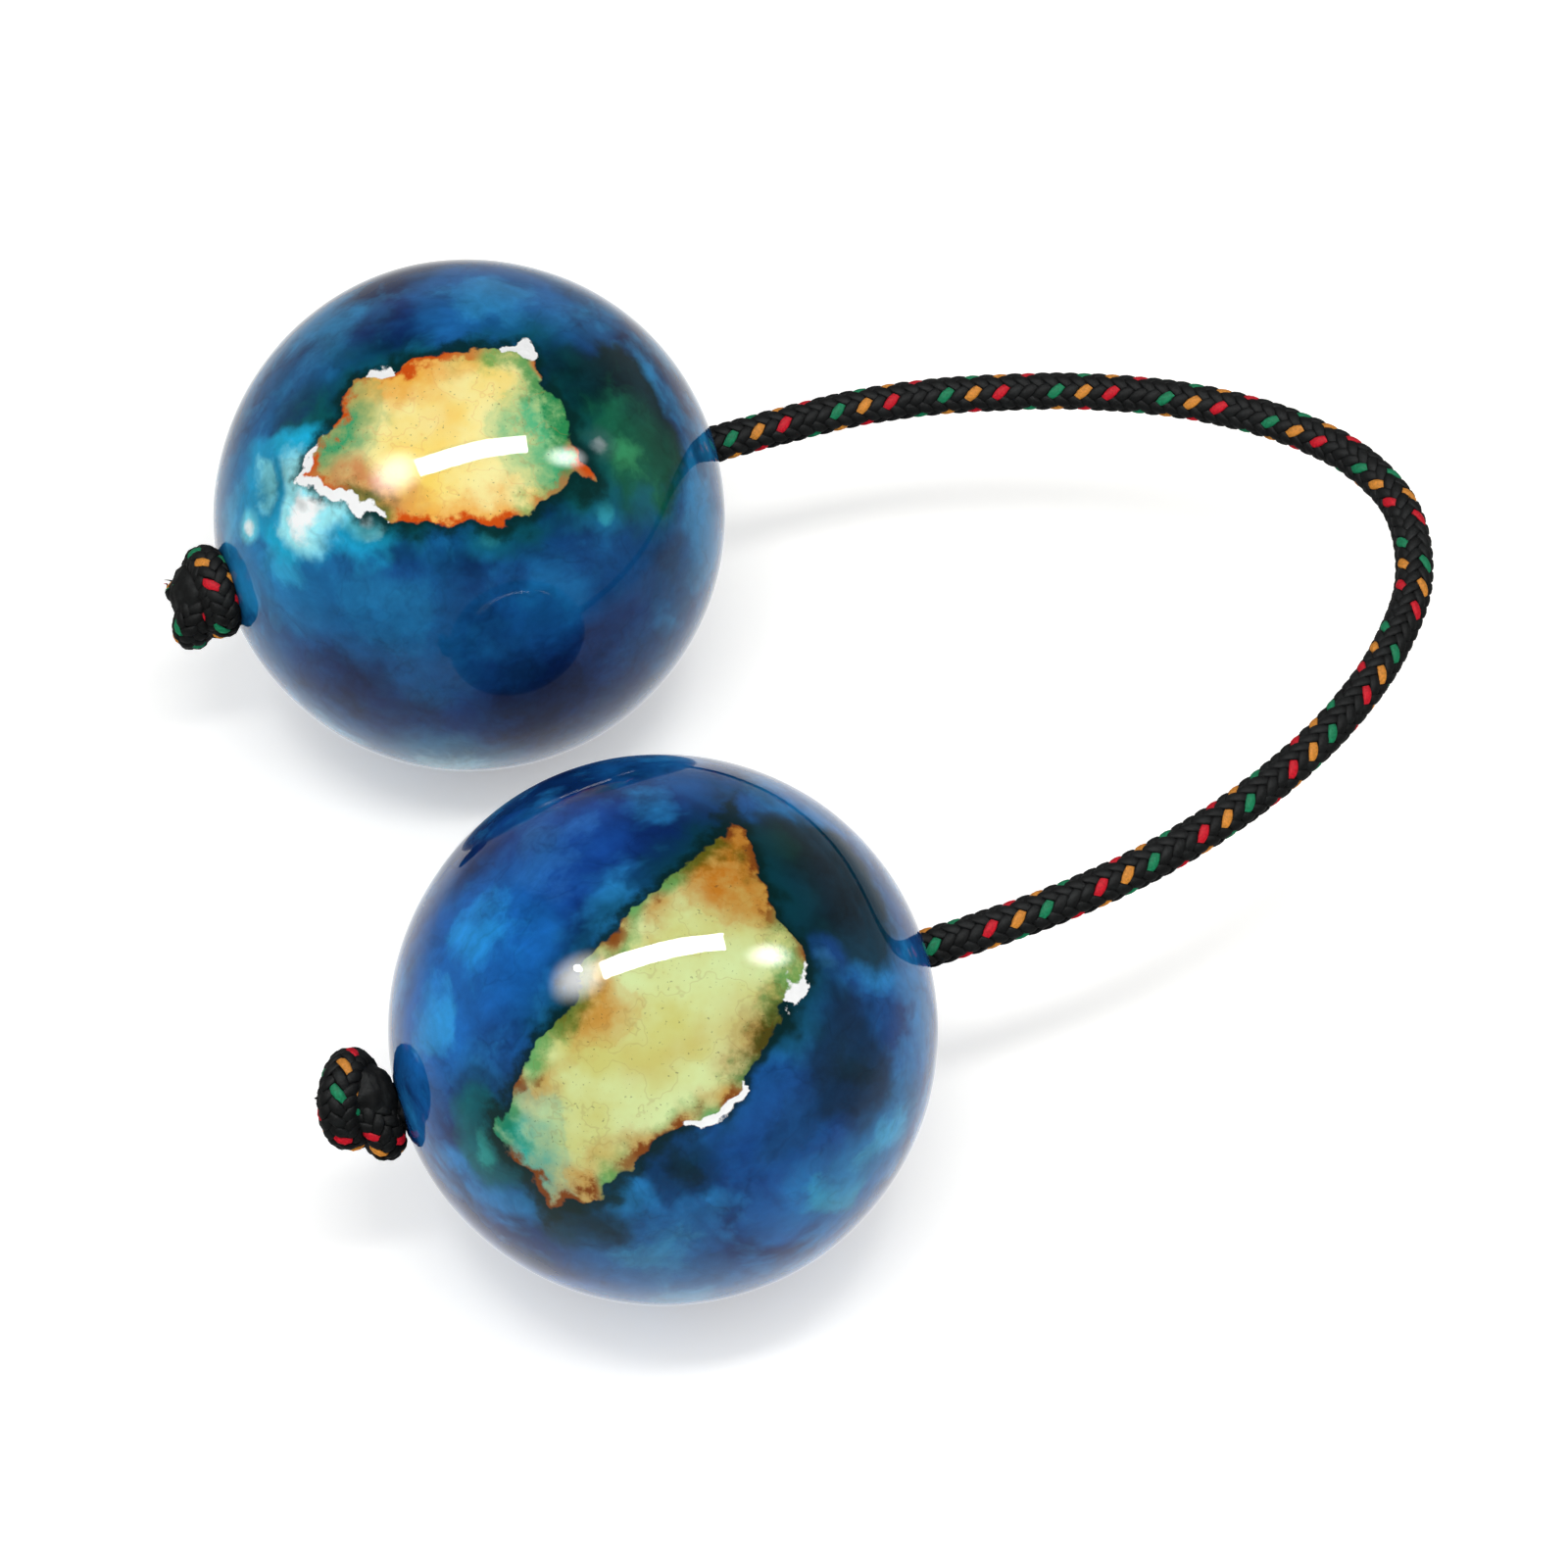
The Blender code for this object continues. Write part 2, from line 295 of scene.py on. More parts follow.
class InkWash(NodeGroup):
    """Blue dye laid in several thin washes, with faint tide marks where they dried."""

    def __init__(self) -> None:
        """Build the shader group."""
        super().__init__("ink_wash", {
            "Vector": ("Place", "Shift"), "Color": ("Deep", "Middle", "Light"),
            "Float": ("Cloud Scale",),
        }, {"Color": ("Colour",)})
        deep, light, scale = self["Deep"], self["Light"], self["Cloud Scale"]
        place = self["Place"] + self["Shift"]
        run = place + self.waver(place, 1.1, 0.55, 2.0)
        pools = self.grain(run, scale, 3.0)
        tone = self.mix(self.fade(pools, 0.38, 0.58), deep, self["Middle"])
        clouds = self.grain(run + (5.2, 1.3, 8.1), scale * 1.5, 4.5, 0.55)
        tone = self.mix(self.fade(clouds, 0.47, 0.66) * 0.9, tone, light)
        tide = self.fade(abs(clouds - 0.50), 0.02, 0.0)
        tone = self.mix(tide * 0.22, tone, deep)
        specks = self.grain(run + (1.7, 6.4, 2.9), 4.6, 4.0, 0.55)
        tone = self.mix(self.fade(specks, 0.54, 0.68) * 0.40, tone, light)
        tone = self.mix(self.fade(specks, 0.46, 0.34) * 0.50, tone, deep)
        self.give("Colour", tone)


class InkAndPaintedLightBlot(NodeGroup):
    """One blot with a ragged edge: mostly dye, some painted highlights and painted reflections."""

    def __init__(self) -> None:
        """Build the shader group."""
        super().__init__("ink_and_painted_light_blot", {
            "Vector": ("Place", "Centre"), "Color": ("Ground", "Heart", "Edge"),
            "Float": ("Spread", "Strength", "Raggedness", "Softness"),
        }, {"Color": ("Colour",)})
        spread, soft = self["Spread"], self["Softness"]
        ragged = self["Raggedness"] * spread * 4.0
        place = self["Place"] + self.waver(self["Place"], 3.2, ragged, 5.0)
        depth = self.length(place - self["Centre"]) / spread
        cover = self.fade(depth, soft + 1.0, 1.0 - soft) * self["Strength"]
        mottle = self.grain(place, 7.0, 4.0, 0.6)
        heart = self.fade(mottle * 1.1 + depth, 1.25, 0.75)
        tint = self.mix(heart, self["Edge"], self["Heart"])
        self.give("Colour", self.mix(cover, self["Ground"], tint))


class LeafPatch(NodeGroup):
    """A torn scrap of pale leaf, with burnt and green rims, soft stains, and white slivers that
    are part bare ground and part painted glint.

    Each tear is a noise that moves the outline: its scale, its reach in gourd
    radii and its detail.
    """

    edges: tuple[str, ...] = ("Edge A", "Edge B", "Edge C", "Edge D", "Edge E", "Edge F")
    stains: tuple[str, ...] = ("Stain A", "Stain B", "Stain C", "Stain D")
    bare_spots: tuple[str, ...] = ("Bare A", "Bare B", "Bare C")
    tears: tuple[Triple, ...] = (
        (2.4, 0.17, 2.0), (6.0, 0.16, 2.0), (18.0, 0.045, 3.0), (60.0, 0.011, 2.0),
    )
    fringe: Tint = (88, 178, 138)

    def __init__(self) -> None:
        """Build the shader group."""
        super().__init__("leaf_patch", {
            "Vector": ("Place", "Shift", *self.edges, *self.bare_spots,
                       *[f"{name} Place" for name in self.stains]),
            "Color": ("Ground", "Pale", "Bright", "Warm Rim", "Burnt Rim", "Outline", "Halo",
                      "Sliver", *[f"{name} Colour" for name in self.stains]),
        }, {"Color": ("Colour",), "Float": ("Relief",)})
        self.shifted = self["Place"] + self["Shift"]
        self.torn, self.edge = self.torn_edge()
        self.broad = self.grain(self.shifted, 3.0, 4.0)
        self.fine = self.grain(self.shifted, 15.0, 4.0, 0.6)
        inside = self.fade(self.edge, 0.005, -0.005)
        dressed = self.mix(inside, self.inked_ground(), self.leaf_colour())
        # White slivers: part bare ground, part painted glint on the leaf's raised edge.
        self.give("Colour", self.mix(self.bare_and_glint_sliver(), dressed, self["Sliver"]))
        cover = self.fade(self.edge, 0.02, -0.02)
        self.give("Relief", cover * self.fine * 0.6 + cover)

    def torn_edge(self) -> tuple[Wire, Wire]:
        """Measure how far a place lies outside the torn outline.

        Returns:
            The place as the tearing moves it, and its distance from the
            outline in gourd radii, below 0 inside.
        """
        torn = self["Place"]
        for scale, reach, detail in self.tears:
            torn = torn + self.waver(self.shifted, scale, reach, detail)
        along, across, _ = self.split(torn)
        flat = self.point(along, across, -1.0)
        edge = self.split(self["Place"])[2] * -1.0
        for name in self.edges:
            edge = self.math("MAXIMUM", edge, self.dot(flat, self[name]))
        return self.point(along, across, 0.0), edge

    def leaf_colour(self) -> Wire:
        """Colour the leaf itself.

        Returns:
            The leaf's colour.
        """
        shifted, warm, burnt = self.shifted, self["Warm Rim"], self["Burnt Rim"]
        burn = self.fade(self.grain(shifted + (4.1, 2.7, 0.3), 2.9, 2.0), 0.45, 0.57)
        leaf = self.mix(self.fade(self.broad, 0.34, 0.64), self["Pale"], self["Bright"])
        slow = self.grain(shifted + (2.2, 5.5, 1.1), 2.1, 3.0)
        leaf = self.mix(self.fade(slow, 0.50, 0.72) * 0.40, leaf, warm)
        rim = self.fine * 0.16 + (self.edge - 0.08)
        leaf = self.mix(self.fade(rim, -0.17, -0.02) * burn * 0.8, leaf, warm)
        mottle = self.grain(shifted, 4.2, 5.0, 0.6)
        uneven = self.clamp(self.fine * 1.3 + 0.27)
        for name in self.stains:
            ragged = mottle * 1.2 + self.reach(f"{name} Place")
            tide = self.fade(abs(ragged - 1.58), 0.08, 0.0)
            body = self.fade(ragged, 1.85, 0.95) * uneven
            leaf = self.mix(self.clamp(tide * 0.14 + body), leaf, self[f"{name} Colour"])
        green = self.fade(rim, -0.09, -0.005) * (1.0 - burn) * 0.85
        leaf = self.mix(green, leaf, dye(self.fringe), "MULTIPLY")
        leaf = self.mix(self.fade(rim, -0.040, -0.005) * burn, leaf, burnt)
        crease = abs(self.grain(shifted, 6.0, 3.0) - 0.5)
        leaf = self.mix(self.fade(crease, 0.012, 0.0) * 0.16, leaf, burnt)
        specks = self.fade(self.grain(shifted, 85.0, 2.0), 0.67, 0.73)
        return self.mix(specks * 0.45, leaf, self["Outline"])

    def reach(self, name: str) -> Wire:
        """Return how far a place lies from a named spot, in shares of the spot's spread."""
        along, across, spread = self.split(self[name])
        return self.length(self.torn - self.point(along, across, 0.0)) / spread

    def bare_and_glint_sliver(self) -> Wire:
        """Leave white slivers along the torn edge, near the bare spots: part bare ground, part
        painted glint on the leaf's raised edge.

        Returns:
            1 in a sliver.
        """
        bare: Feed = 0.0
        for name in self.bare_spots:
            ragged = self.fine * 0.8 + self.reach(name)
            bare = self.math("MAXIMUM", bare, self.fade(ragged, 1.4, 0.8))
        past = self.fine * 0.04 + (bare * -0.030 + self.edge - 0.02)
        band = self.fade(past, 0.004, -0.004) * self.fade(self.edge, -0.012, -0.004)
        return band * self.fade(bare, 0.15, 0.3)

    def mottled(self) -> Wire:
        """Give the ground the dye's fine grain and dried veins.

        Returns:
            The ground's colour.
        """
        run = self.shifted + self.waver(self.shifted, 2.2, 0.30, 3.0)
        ridge = abs(self.grain(run, 2.6, 4.0, 0.55) - 0.5)
        value = self.grain(run, 5.5, 7.0, 0.66) * 1.5 + 0.27
        value = self.fade(ridge, 0.022, 0.0) * -0.13 + value
        return self.out("ShaderNodeHueSaturation", {"Value": value, "Color": self["Ground"]})

    def inked_ground(self) -> Wire:
        """Darken the ground round the leaf.

        Returns:
            The ground's colour.
        """
        halo = self.fade(self.edge, 0.20, 0.01) * self.fade(self.broad, 0.64, 0.42)
        ground = self.mix(halo * 0.85, self.mottled(), self["Halo"])
        line = self.fine * -0.10 + (self.edge + 0.05)
        return self.mix(self.fade(line, 0.07, 0.01) * 0.9, ground, self["Outline"])


@dataclass(frozen=True)
class Marbling:
    """The shader groups that both gourds' finishes share."""

    wash: InkWash = field(default_factory=InkWash)
    blot: InkAndPaintedLightBlot = field(default_factory=InkAndPaintedLightBlot)
    patch: LeafPatch = field(default_factory=LeafPatch)


def new_material(name: str) -> tuple[Material, NodeSheet, Node]:
    """Make a material.

    Args:
        name: Its name.

    Returns:
        The material, its nodes and its shader.
    """
    material = bpy.data.materials.new(name)
    material.use_nodes = True
    tree = material.node_tree
    return material, NodeSheet(tree), tree.nodes["Principled BSDF"]


@dataclass(frozen=True)
class Blot:
    """One blot of colour, placed as it is seen from the gourd's face or from behind it: mostly
    dye, some painted highlights and painted reflections.
    """

    across: float
    up: float
    spread: float
    heart: Tint
    edge: Tint
    strength: float = 0.9
    raggedness: float = 0.4
    softness: float = 0.3
    behind: bool = False

    def feeds(self) -> dict[str, Feed]:
        """Work out what the blot's shader group gets.

        Returns:
            The values by the names of the group's inputs.
        """
        depth = math.sqrt(max(0.0, 1.0 - self.across ** 2 - self.up ** 2))
        return {
            "Centre": (self.across, self.up, -depth if self.behind else depth),
            "Spread": self.spread, "Heart": dye(self.heart), "Edge": dye(self.edge),
            "Strength": self.strength, "Raggedness": self.raggedness, "Softness": self.softness,
        }


@dataclass(frozen=True)
class Stain:
    """A stain on the leaf, as it is seen from the gourd's face."""

    across: float
    up: float
    spread: float
    colour: Tint


@dataclass(frozen=True)
class Leaf:
    """The torn scrap of leaf on one gourd: its corners, stains, bare spots and colours.

    A bare spot gives its place and its spread.
    """

    corners: tuple[tuple[float, float], ...]
    stains: tuple[Stain, Stain, Stain, Stain]
    bare: tuple[Triple, ...]
    shift: Triple
    pale: Tint
    bright: Tint
    warm_rim: Tint
    burnt_rim: Tint
    outline: Tint
    halo: Tint
    # The slivers' white: part bare ground, part painted glint.
    bare_and_glint: Tint = (254, 255, 255)

    def edges(self) -> list[Triple]:
        """Return each edge's direction outwards and its distance from the middle.

        Returns:
            One row for each edge, clockwise from the first corner.
        """
        rows = []
        for (x, y), (next_x, next_y) in zip(self.corners, self.corners[1:] + self.corners[:1]):
            run, rise = next_x - x, next_y - y
            size = math.hypot(run, rise)
            out_x, out_y = -rise / size, run / size
            rows.append((out_x, out_y, out_x * x + out_y * y))
        return rows

    def feeds(self) -> dict[str, Feed]:
        """Work out what the leaf's shader group gets.

        Returns:
            The values by the names of the group's inputs.
        """
        values: dict[str, Feed] = {
            "Shift": self.shift, "Pale": dye(self.pale), "Bright": dye(self.bright),
            "Warm Rim": dye(self.warm_rim), "Burnt Rim": dye(self.burnt_rim),
            "Outline": dye(self.outline), "Halo": dye(self.halo), "Sliver": dye(self.bare_and_glint),
        }
        values.update(zip(LeafPatch.edges, self.edges()))
        values.update(zip(LeafPatch.bare_spots, self.bare))
        for name, stain in zip(LeafPatch.stains, self.stains):
            values[f"{name} Place"] = (stain.across, stain.up, stain.spread)
            values[f"{name} Colour"] = dye(stain.colour)
        return values


@dataclass(frozen=True)
class MarbledLacquer:
    """Marbled dye and torn leaf under thick clear gloss lacquer, with some painted highlights and
    painted reflections among the blots.

    The face is the way that the leaf looks, and across is the way to its right.
    """

    name: str
    face: Triple
    deep: Tint
    middle: Tint
    light: Tint
    cloud_scale: float
    shift: Triple
    blots: tuple[Blot, ...]
    leaf: Leaf
    across: Triple = (0.95203, -0.30601, 0.0)
    roughness: float = 0.42
    coat_roughness: float = 0.02
    coat_ior: float = 1.20
    brush_scale: float = 16.0
    brush_height: float = 0.4
    relief_distance: float = 0.0003
    relief_strength: float = 0.3

    def turn(self) -> Triple:
        """Return the turn that brings the gourd's face to +Z.

        Returns:
            The turn about X, Y and Z.
        """
        face = Vector(self.face).normalized()
        across = Vector(self.across)
        across = (across - face * across.dot(face)).normalized()
        return tuple(Matrix((across, face.cross(across), face)).to_euler("XYZ"))

    def make(self, centre: Vector, marbling: Marbling) -> Material:
        """Make the material for a gourd.

        Args:
            centre: The gourd's centre, which the pattern is laid round.
            marbling: The shared shader groups.

        Returns:
            The new material.
        """
        material, sheet, shader = new_material(self.name)
        place = self.place_on_gourd(sheet, centre)
        ground = sheet.out("ShaderNodeGroup", {
            "Place": place, "Shift": self.shift, "Deep": dye(self.deep),
            "Middle": dye(self.middle), "Light": dye(self.light), "Cloud Scale": self.cloud_scale,
        }, "Colour", node_tree=marbling.wash.tree)
        for item in self.blots:
            feeds = {"Ground": ground, "Place": place, **item.feeds()}
            ground = sheet.out("ShaderNodeGroup", feeds, "Colour", node_tree=marbling.blot.tree)
        feeds = {"Ground": ground, "Place": place, **self.leaf.feeds()}
        dressed = sheet.add("ShaderNodeGroup", feeds, node_tree=marbling.patch.tree).outputs
        brushed = sheet.grain(place, self.brush_scale, 4.0, 0.6)
        height = brushed * self.brush_height + Wire(sheet, dressed["Relief"])
        sheet.fill(shader, {
            "Base Color": Wire(sheet, dressed["Colour"]), "Roughness": self.roughness,
            "Normal": sheet.bump(height, self.relief_strength, self.relief_distance),
            "Specular IOR Level": 0.0, "Coat Weight": 1.0,
            "Coat Roughness": self.coat_roughness, "Coat IOR": self.coat_ior,
        })
        return material

    def place_on_gourd(self, sheet: NodeSheet, centre: Vector) -> Wire:
        """Lay the pattern's own axes on a gourd.

        Args:
            sheet: The material's nodes.
            centre: The gourd's centre.

        Returns:
            The direction from the centre to the shaded place, with the gourd's
            face on +Z.
        """
        moved = sheet.out("ShaderNodeMapping", {"Vector": sheet.here(), "Location": -centre})
        turned = sheet.out("ShaderNodeMapping", {"Vector": moved, "Rotation": self.turn()})
        return sheet.out("ShaderNodeVectorMath", {0: turned}, operation="NORMALIZE")


@dataclass(frozen=True)
class BraidFinish:
    """Matt polyester yarn, black with three fleck colours."""

    name: str = "black_braid_with_flecks"
    colours: tuple[tuple[Ply, Tint], ...] = (
        (Ply.GREEN, (22, 132, 88)), (Ply.ORANGE, (226, 146, 56)), (Ply.RED, (214, 22, 42)),
    )
    black: Tint = (10, 12, 12)
    worn_black: Tint = (24, 27, 27)
    roughness: float = 0.7
    gloss: float = 0.05
    wear_scale: float = 700.0
    wear_fade: tuple[float, float] = (0.45, 0.75)
    fibre_scale: float = 3800.0
    fibre_range: tuple[float, float] = (0.3, 0.7)
    fibre_shades: tuple[float, float] = (0.72, 1.12)
    fibre_strength: float = 0.5
    fibre_height: float = 0.00008

    def make(self) -> Material:
        """Make the yarn material, which reads each yarn's colour number.

        Returns:
            The new material.
        """
        material, sheet, shader = new_material(self.name)
        here = sheet.here()
        ply = sheet.out("ShaderNodeAttribute", {}, "Fac", attribute_name="ply")
        wear = sheet.fade(sheet.grain(here, self.wear_scale, 3.0), *self.wear_fade)
        colour = sheet.mix(wear, dye(self.black), dye(self.worn_black))
        for kind, tint in self.colours:
            chosen = sheet.math("COMPARE", ply, float(kind.value), 0.25)
            colour = sheet.mix(chosen, colour, dye(tint))
        fibre = sheet.grain(here, self.fibre_scale, 2.0)
        ends = dict(zip(("From Min", "From Max"), self.fibre_range))
        ends.update(zip(("To Min", "To Max"), self.fibre_shades))
        shade = sheet.out("ShaderNodeMapRange", {"Value": fibre, **ends})
        sheet.fill(shader, {
            "Base Color": sheet.mix(1.0, colour, shade, "MULTIPLY"),
            "Normal": sheet.bump(fibre, self.fibre_strength, self.fibre_height),
            "Roughness": self.roughness, "Specular IOR Level": self.gloss,
        })
        return material


@dataclass(frozen=True)
class SeedFinish:
    """Dry brown seed coats, mottled."""

    name: str = "dry_seed_coat"
    pale: Tint = (168, 124, 78)
    dark: Tint = (96, 60, 32)
    mottle_scale: float = 420.0
    mottle_fade: tuple[float, float] = (0.35, 0.65)
    mottle_strength: float = 0.4
    mottle_height: float = 0.0001
    roughness: float = 0.55

    def make(self) -> Material:
        """Make the seed material.

        Returns:
            The new material.
        """
        material, sheet, shader = new_material(self.name)
        mottle = sheet.grain(sheet.here(), self.mottle_scale, 4.0, 0.6)
        share = sheet.fade(mottle, *self.mottle_fade)
        sheet.fill(shader, {
            "Base Color": sheet.mix(share, dye(self.dark), dye(self.pale)),
            "Normal": sheet.bump(mottle, self.mottle_strength, self.mottle_height),
            "Roughness": self.roughness,
        })
        return material


REAR_LACQUER = MarbledLacquer(
    name="rear_marbled_lacquer", face=(-0.1437, -0.6404, 0.7544),
    deep=(12, 44, 92), middle=(20, 92, 146), light=(36, 132, 186),
    cloud_scale=1.6, shift=(3.1, 0.4, 1.7),
    blots=(
        # Dark navy low on the face.
        Blot(0.30, -0.66, 0.52, (9, 26, 70), (14, 48, 104), 0.92, 0.3, 0.55),
        Blot(-0.38, -0.66, 0.38, (9, 30, 78), (15, 54, 112), 0.88, 0.3, 0.5),
        Blot(-0.33, -0.34, 0.34, (26, 112, 164), (20, 90, 144), 0.75, 0.5, 0.4),
        Blot(-0.70, -0.20, 0.24, (48, 164, 210), (26, 112, 168), 0.85, 0.4, 0.4),
        Blot(0.72, -0.12, 0.20, (16, 48, 84), (14, 62, 110), 0.8, 0.5, 0.4),
        Blot(0.30, -0.25, 0.22, (22, 106, 166), (18, 82, 142), 0.6, 0.5, 0.5),
        Blot(-0.28, -0.15, 0.11, (12, 32, 80), (16, 58, 120), 0.8, 0.6, 0.4),
        Blot(0.06, 0.85, 0.29, (48, 142, 202), (30, 100, 166), 0.9, 0.35, 0.3),
        Blot(-0.32, 0.75, 0.12, (14, 34, 84), (16, 50, 110), 0.75, 0.6, 0.4),
        Blot(0.53, 0.36, 0.34, (22, 100, 70), (5, 38, 42), 0.97, 0.35, 0.12),
        Blot(0.60, 0.23, 0.24, (56, 148, 98), (22, 96, 72), 0.85, 0.35, 0.4),
        Blot(0.36, 0.56, 0.13, (6, 32, 38), (8, 46, 54), 0.9, 0.4, 0.4),
        # A grey-white smear right of the leaf: painted highlight.
        Blot(0.48, 0.27, 0.08, (166, 174, 178), (60, 104, 98), 0.7, 0.6, 0.5),
        Blot(-0.58, 0.36, 0.20, (8, 92, 92), (10, 62, 92), 0.9, 0.35, 0.4),
        Blot(-0.92, 0.02, 0.22, (66, 164, 208), (32, 116, 168), 0.8, 0.4, 0.4),
        # Light blue along the bottom rim: painted reflection of the white floor.
        Blot(-0.05, -0.97, 0.30, (116, 182, 206), (58, 124, 162), 0.9, 0.3, 0.4),
        Blot(0.46, -0.90, 0.24, (84, 140, 172), (40, 92, 136), 0.8, 0.3, 0.4),
        Blot(-0.52, -0.83, 0.24, (78, 142, 180), (40, 98, 146), 0.8, 0.3, 0.4),
        # Pale cyan to white left of the leaf: part cyan dye, part painted highlight, whitest in
        # the small white blots.
        Blot(-0.64, 0.04, 0.26, (170, 240, 250), (26, 174, 216), 0.97, 0.6, 0.2),
        Blot(-0.38, -0.08, 0.17, (150, 234, 246), (28, 164, 210), 0.96, 0.7, 0.3),
        Blot(-0.80, 0.12, 0.15, (130, 224, 240), (28, 152, 198), 0.96, 0.6, 0.3),
        Blot(-0.58, 0.02, 0.19, (252, 255, 255), (160, 240, 250), 1.0, 0.7, 0.3),
        Blot(-0.84, -0.04, 0.06, (236, 252, 254), (110, 214, 234), 0.95, 0.7, 0.4),
        Blot(-0.40, -0.05, 0.07, (230, 250, 252), (110, 218, 236), 0.9, 0.7, 0.4),
        Blot(0.08, -0.09, 0.07, (70, 192, 216), (26, 122, 172), 0.7, 0.6, 0.5),
        Blot(0.52, 0.03, 0.08, (60, 182, 208), (24, 112, 162), 0.7, 0.6, 0.5),
        Blot(0.35, 0.10, 0.48, (16, 104, 100), (10, 58, 92), 0.8, 0.4, 0.35, True),
        Blot(-0.45, -0.30, 0.40, (34, 118, 176), (18, 70, 132), 0.8, 0.4, 0.35, True),
    ),
    leaf=Leaf(
        corners=((-0.46, 0.50), (0.20, 0.62), (0.45, 0.12), (0.10, -0.03), (-0.22, -0.03),
                 (-0.62, 0.15)),
        stains=(
            Stain(0.31, 0.36, 0.24, (92, 190, 134)), Stain(0.40, 0.16, 0.17, (84, 180, 124)),
            Stain(-0.52, 0.32, 0.20, (66, 164, 110)), Stain(-0.40, 0.08, 0.17, (214, 146, 90)),
        ),
        bare=((0.22, 0.64, 0.12), (-0.50, 0.07, 0.24), (-0.36, 0.54, 0.08)),
        shift=(0.4, 2.2, 5.1),
        pale=(255, 220, 106), bright=(255, 244, 168), warm_rim=(244, 168, 60),
        burnt_rim=(214, 84, 22), outline=(8, 42, 40), halo=(10, 84, 88),
    ),
)

FRONT_LACQUER = MarbledLacquer(
    name="front_marbled_lacquer", face=(-0.1553, -0.5576, 0.8155),
    deep=(12, 42, 98), middle=(22, 88, 154), light=(40, 132, 198),
    cloud_scale=1.5, shift=(0.7, 4.3, 2.2),
    blots=(
        Blot(-0.05, -0.80, 0.30, (50, 134, 180), (28, 96, 154), 0.8, 0.4, 0.4),
        # Light blue along the bottom rim: painted reflection of the white floor.
        Blot(0.10, -0.96, 0.30, (76, 146, 188), (40, 102, 156), 0.8, 0.3, 0.4),
        Blot(0.62, -0.58, 0.22, (48, 158, 198), (28, 108, 172), 0.8, 0.5, 0.4),
        Blot(0.78, -0.36, 0.22, (56, 156, 200), (32, 112, 166), 0.85, 0.5, 0.4),
        Blot(0.42, -0.32, 0.28, (14, 46, 96), (18, 64, 128), 0.85, 0.4, 0.3),
        Blot(0.65, -0.12, 0.22, (10, 32, 44), (12, 44, 74), 0.95, 0.4, 0.3),
        Blot(-0.38, 0.64, 0.26, (40, 102, 180), (22, 72, 152), 0.85, 0.5, 0.4),
        Blot(-0.64, 0.31, 0.30, (34, 138, 212), (24, 98, 178), 0.95, 0.4, 0.35),
        Blot(-0.82, 0.02, 0.24, (46, 148, 216), (26, 104, 184), 0.9, 0.4, 0.35),
        Blot(0.56, 0.50, 0.34, (6, 28, 32), (10, 46, 60), 0.96, 0.35, 0.2),
        Blot(0.40, 0.66, 0.12, (10, 52, 44), (8, 36, 40), 0.85, 0.5, 0.4),
        Blot(0.57, 0.25, 0.12, (52, 114, 180), (24, 70, 136), 0.8, 0.6, 0.3),
        Blot(-0.62, -0.26, 0.15, (10, 52, 58), (14, 60, 100), 0.85, 0.4, 0.3),
        Blot(-0.30, -0.66, 0.15, (6, 36, 40), (10, 54, 76), 0.92, 0.5, 0.35),
        Blot(0.04, -0.48, 0.15, (8, 36, 46), (12, 54, 94), 0.9, 0.5, 0.3),
        Blot(-0.60, -0.42, 0.19, (52, 186, 176), (14, 108, 118), 0.95, 0.5, 0.25),
        Blot(0.25, -0.20, 0.46, (18, 100, 106), (12, 58, 100), 0.8, 0.4, 0.35, True),
        Blot(-0.40, 0.35, 0.42, (36, 104, 184), (18, 62, 142), 0.8, 0.4, 0.35, True),
    ),
    leaf=Leaf(
        corners=((0.25, 0.71), (0.47, 0.22), (0.26, -0.26), (-0.42, -0.63), (-0.57, -0.36),
                 (-0.26, 0.25)),
        stains=(
            Stain(0.24, 0.60, 0.23, (196, 124, 40)), Stain(-0.28, 0.12, 0.17, (200, 148, 66)),
            Stain(0.38, -0.06, 0.17, (156, 98, 44)), Stain(-0.55, -0.44, 0.22, (58, 178, 164)),
        ),
        bare=((0.46, 0.12, 0.10), (0.24, -0.32, 0.17), (-0.30, 0.20, 0.03)),
        shift=(2.6, 0.9, 3.3),
        pale=(206, 204, 118), bright=(216, 234, 168), warm_rim=(192, 134, 50),
        burnt_rim=(130, 68, 24), outline=(8, 36, 34), halo=(10, 62, 72),
    ),
)


def smooth_curve(points: Sequence[Vector], steps: int = 12) -> list[Vector]:
    """Lay a dense smooth curve through a route's own points.

    Args:
        points: The route's points.
        steps: Steps between two of them.

    Returns:
        The points of the curve.
    """
    knots = [points[0] * 2 - points[1], *points, points[-1] * 2 - points[-2]]
    curve = []
    for before, start, end, after in zip(knots, knots[1:], knots[2:], knots[3:]):
        for step in range(steps):
            t = step / steps
            linear = (end - before) * t
            square = (before * 2 - start * 5 + end * 4 - after) * t ** 2
            cubic = (start * 3 - before - end * 3 + after) * t ** 3
            curve.append((start * 2 + linear + square + cubic) / 2)
    curve.append(points[-1])
    return curve


@dataclass(frozen=True)
class Station:
    """One place on a cord's line, with the two directions across it."""

    place: Vector
    out: Vector
    side: Vector
    arc: float


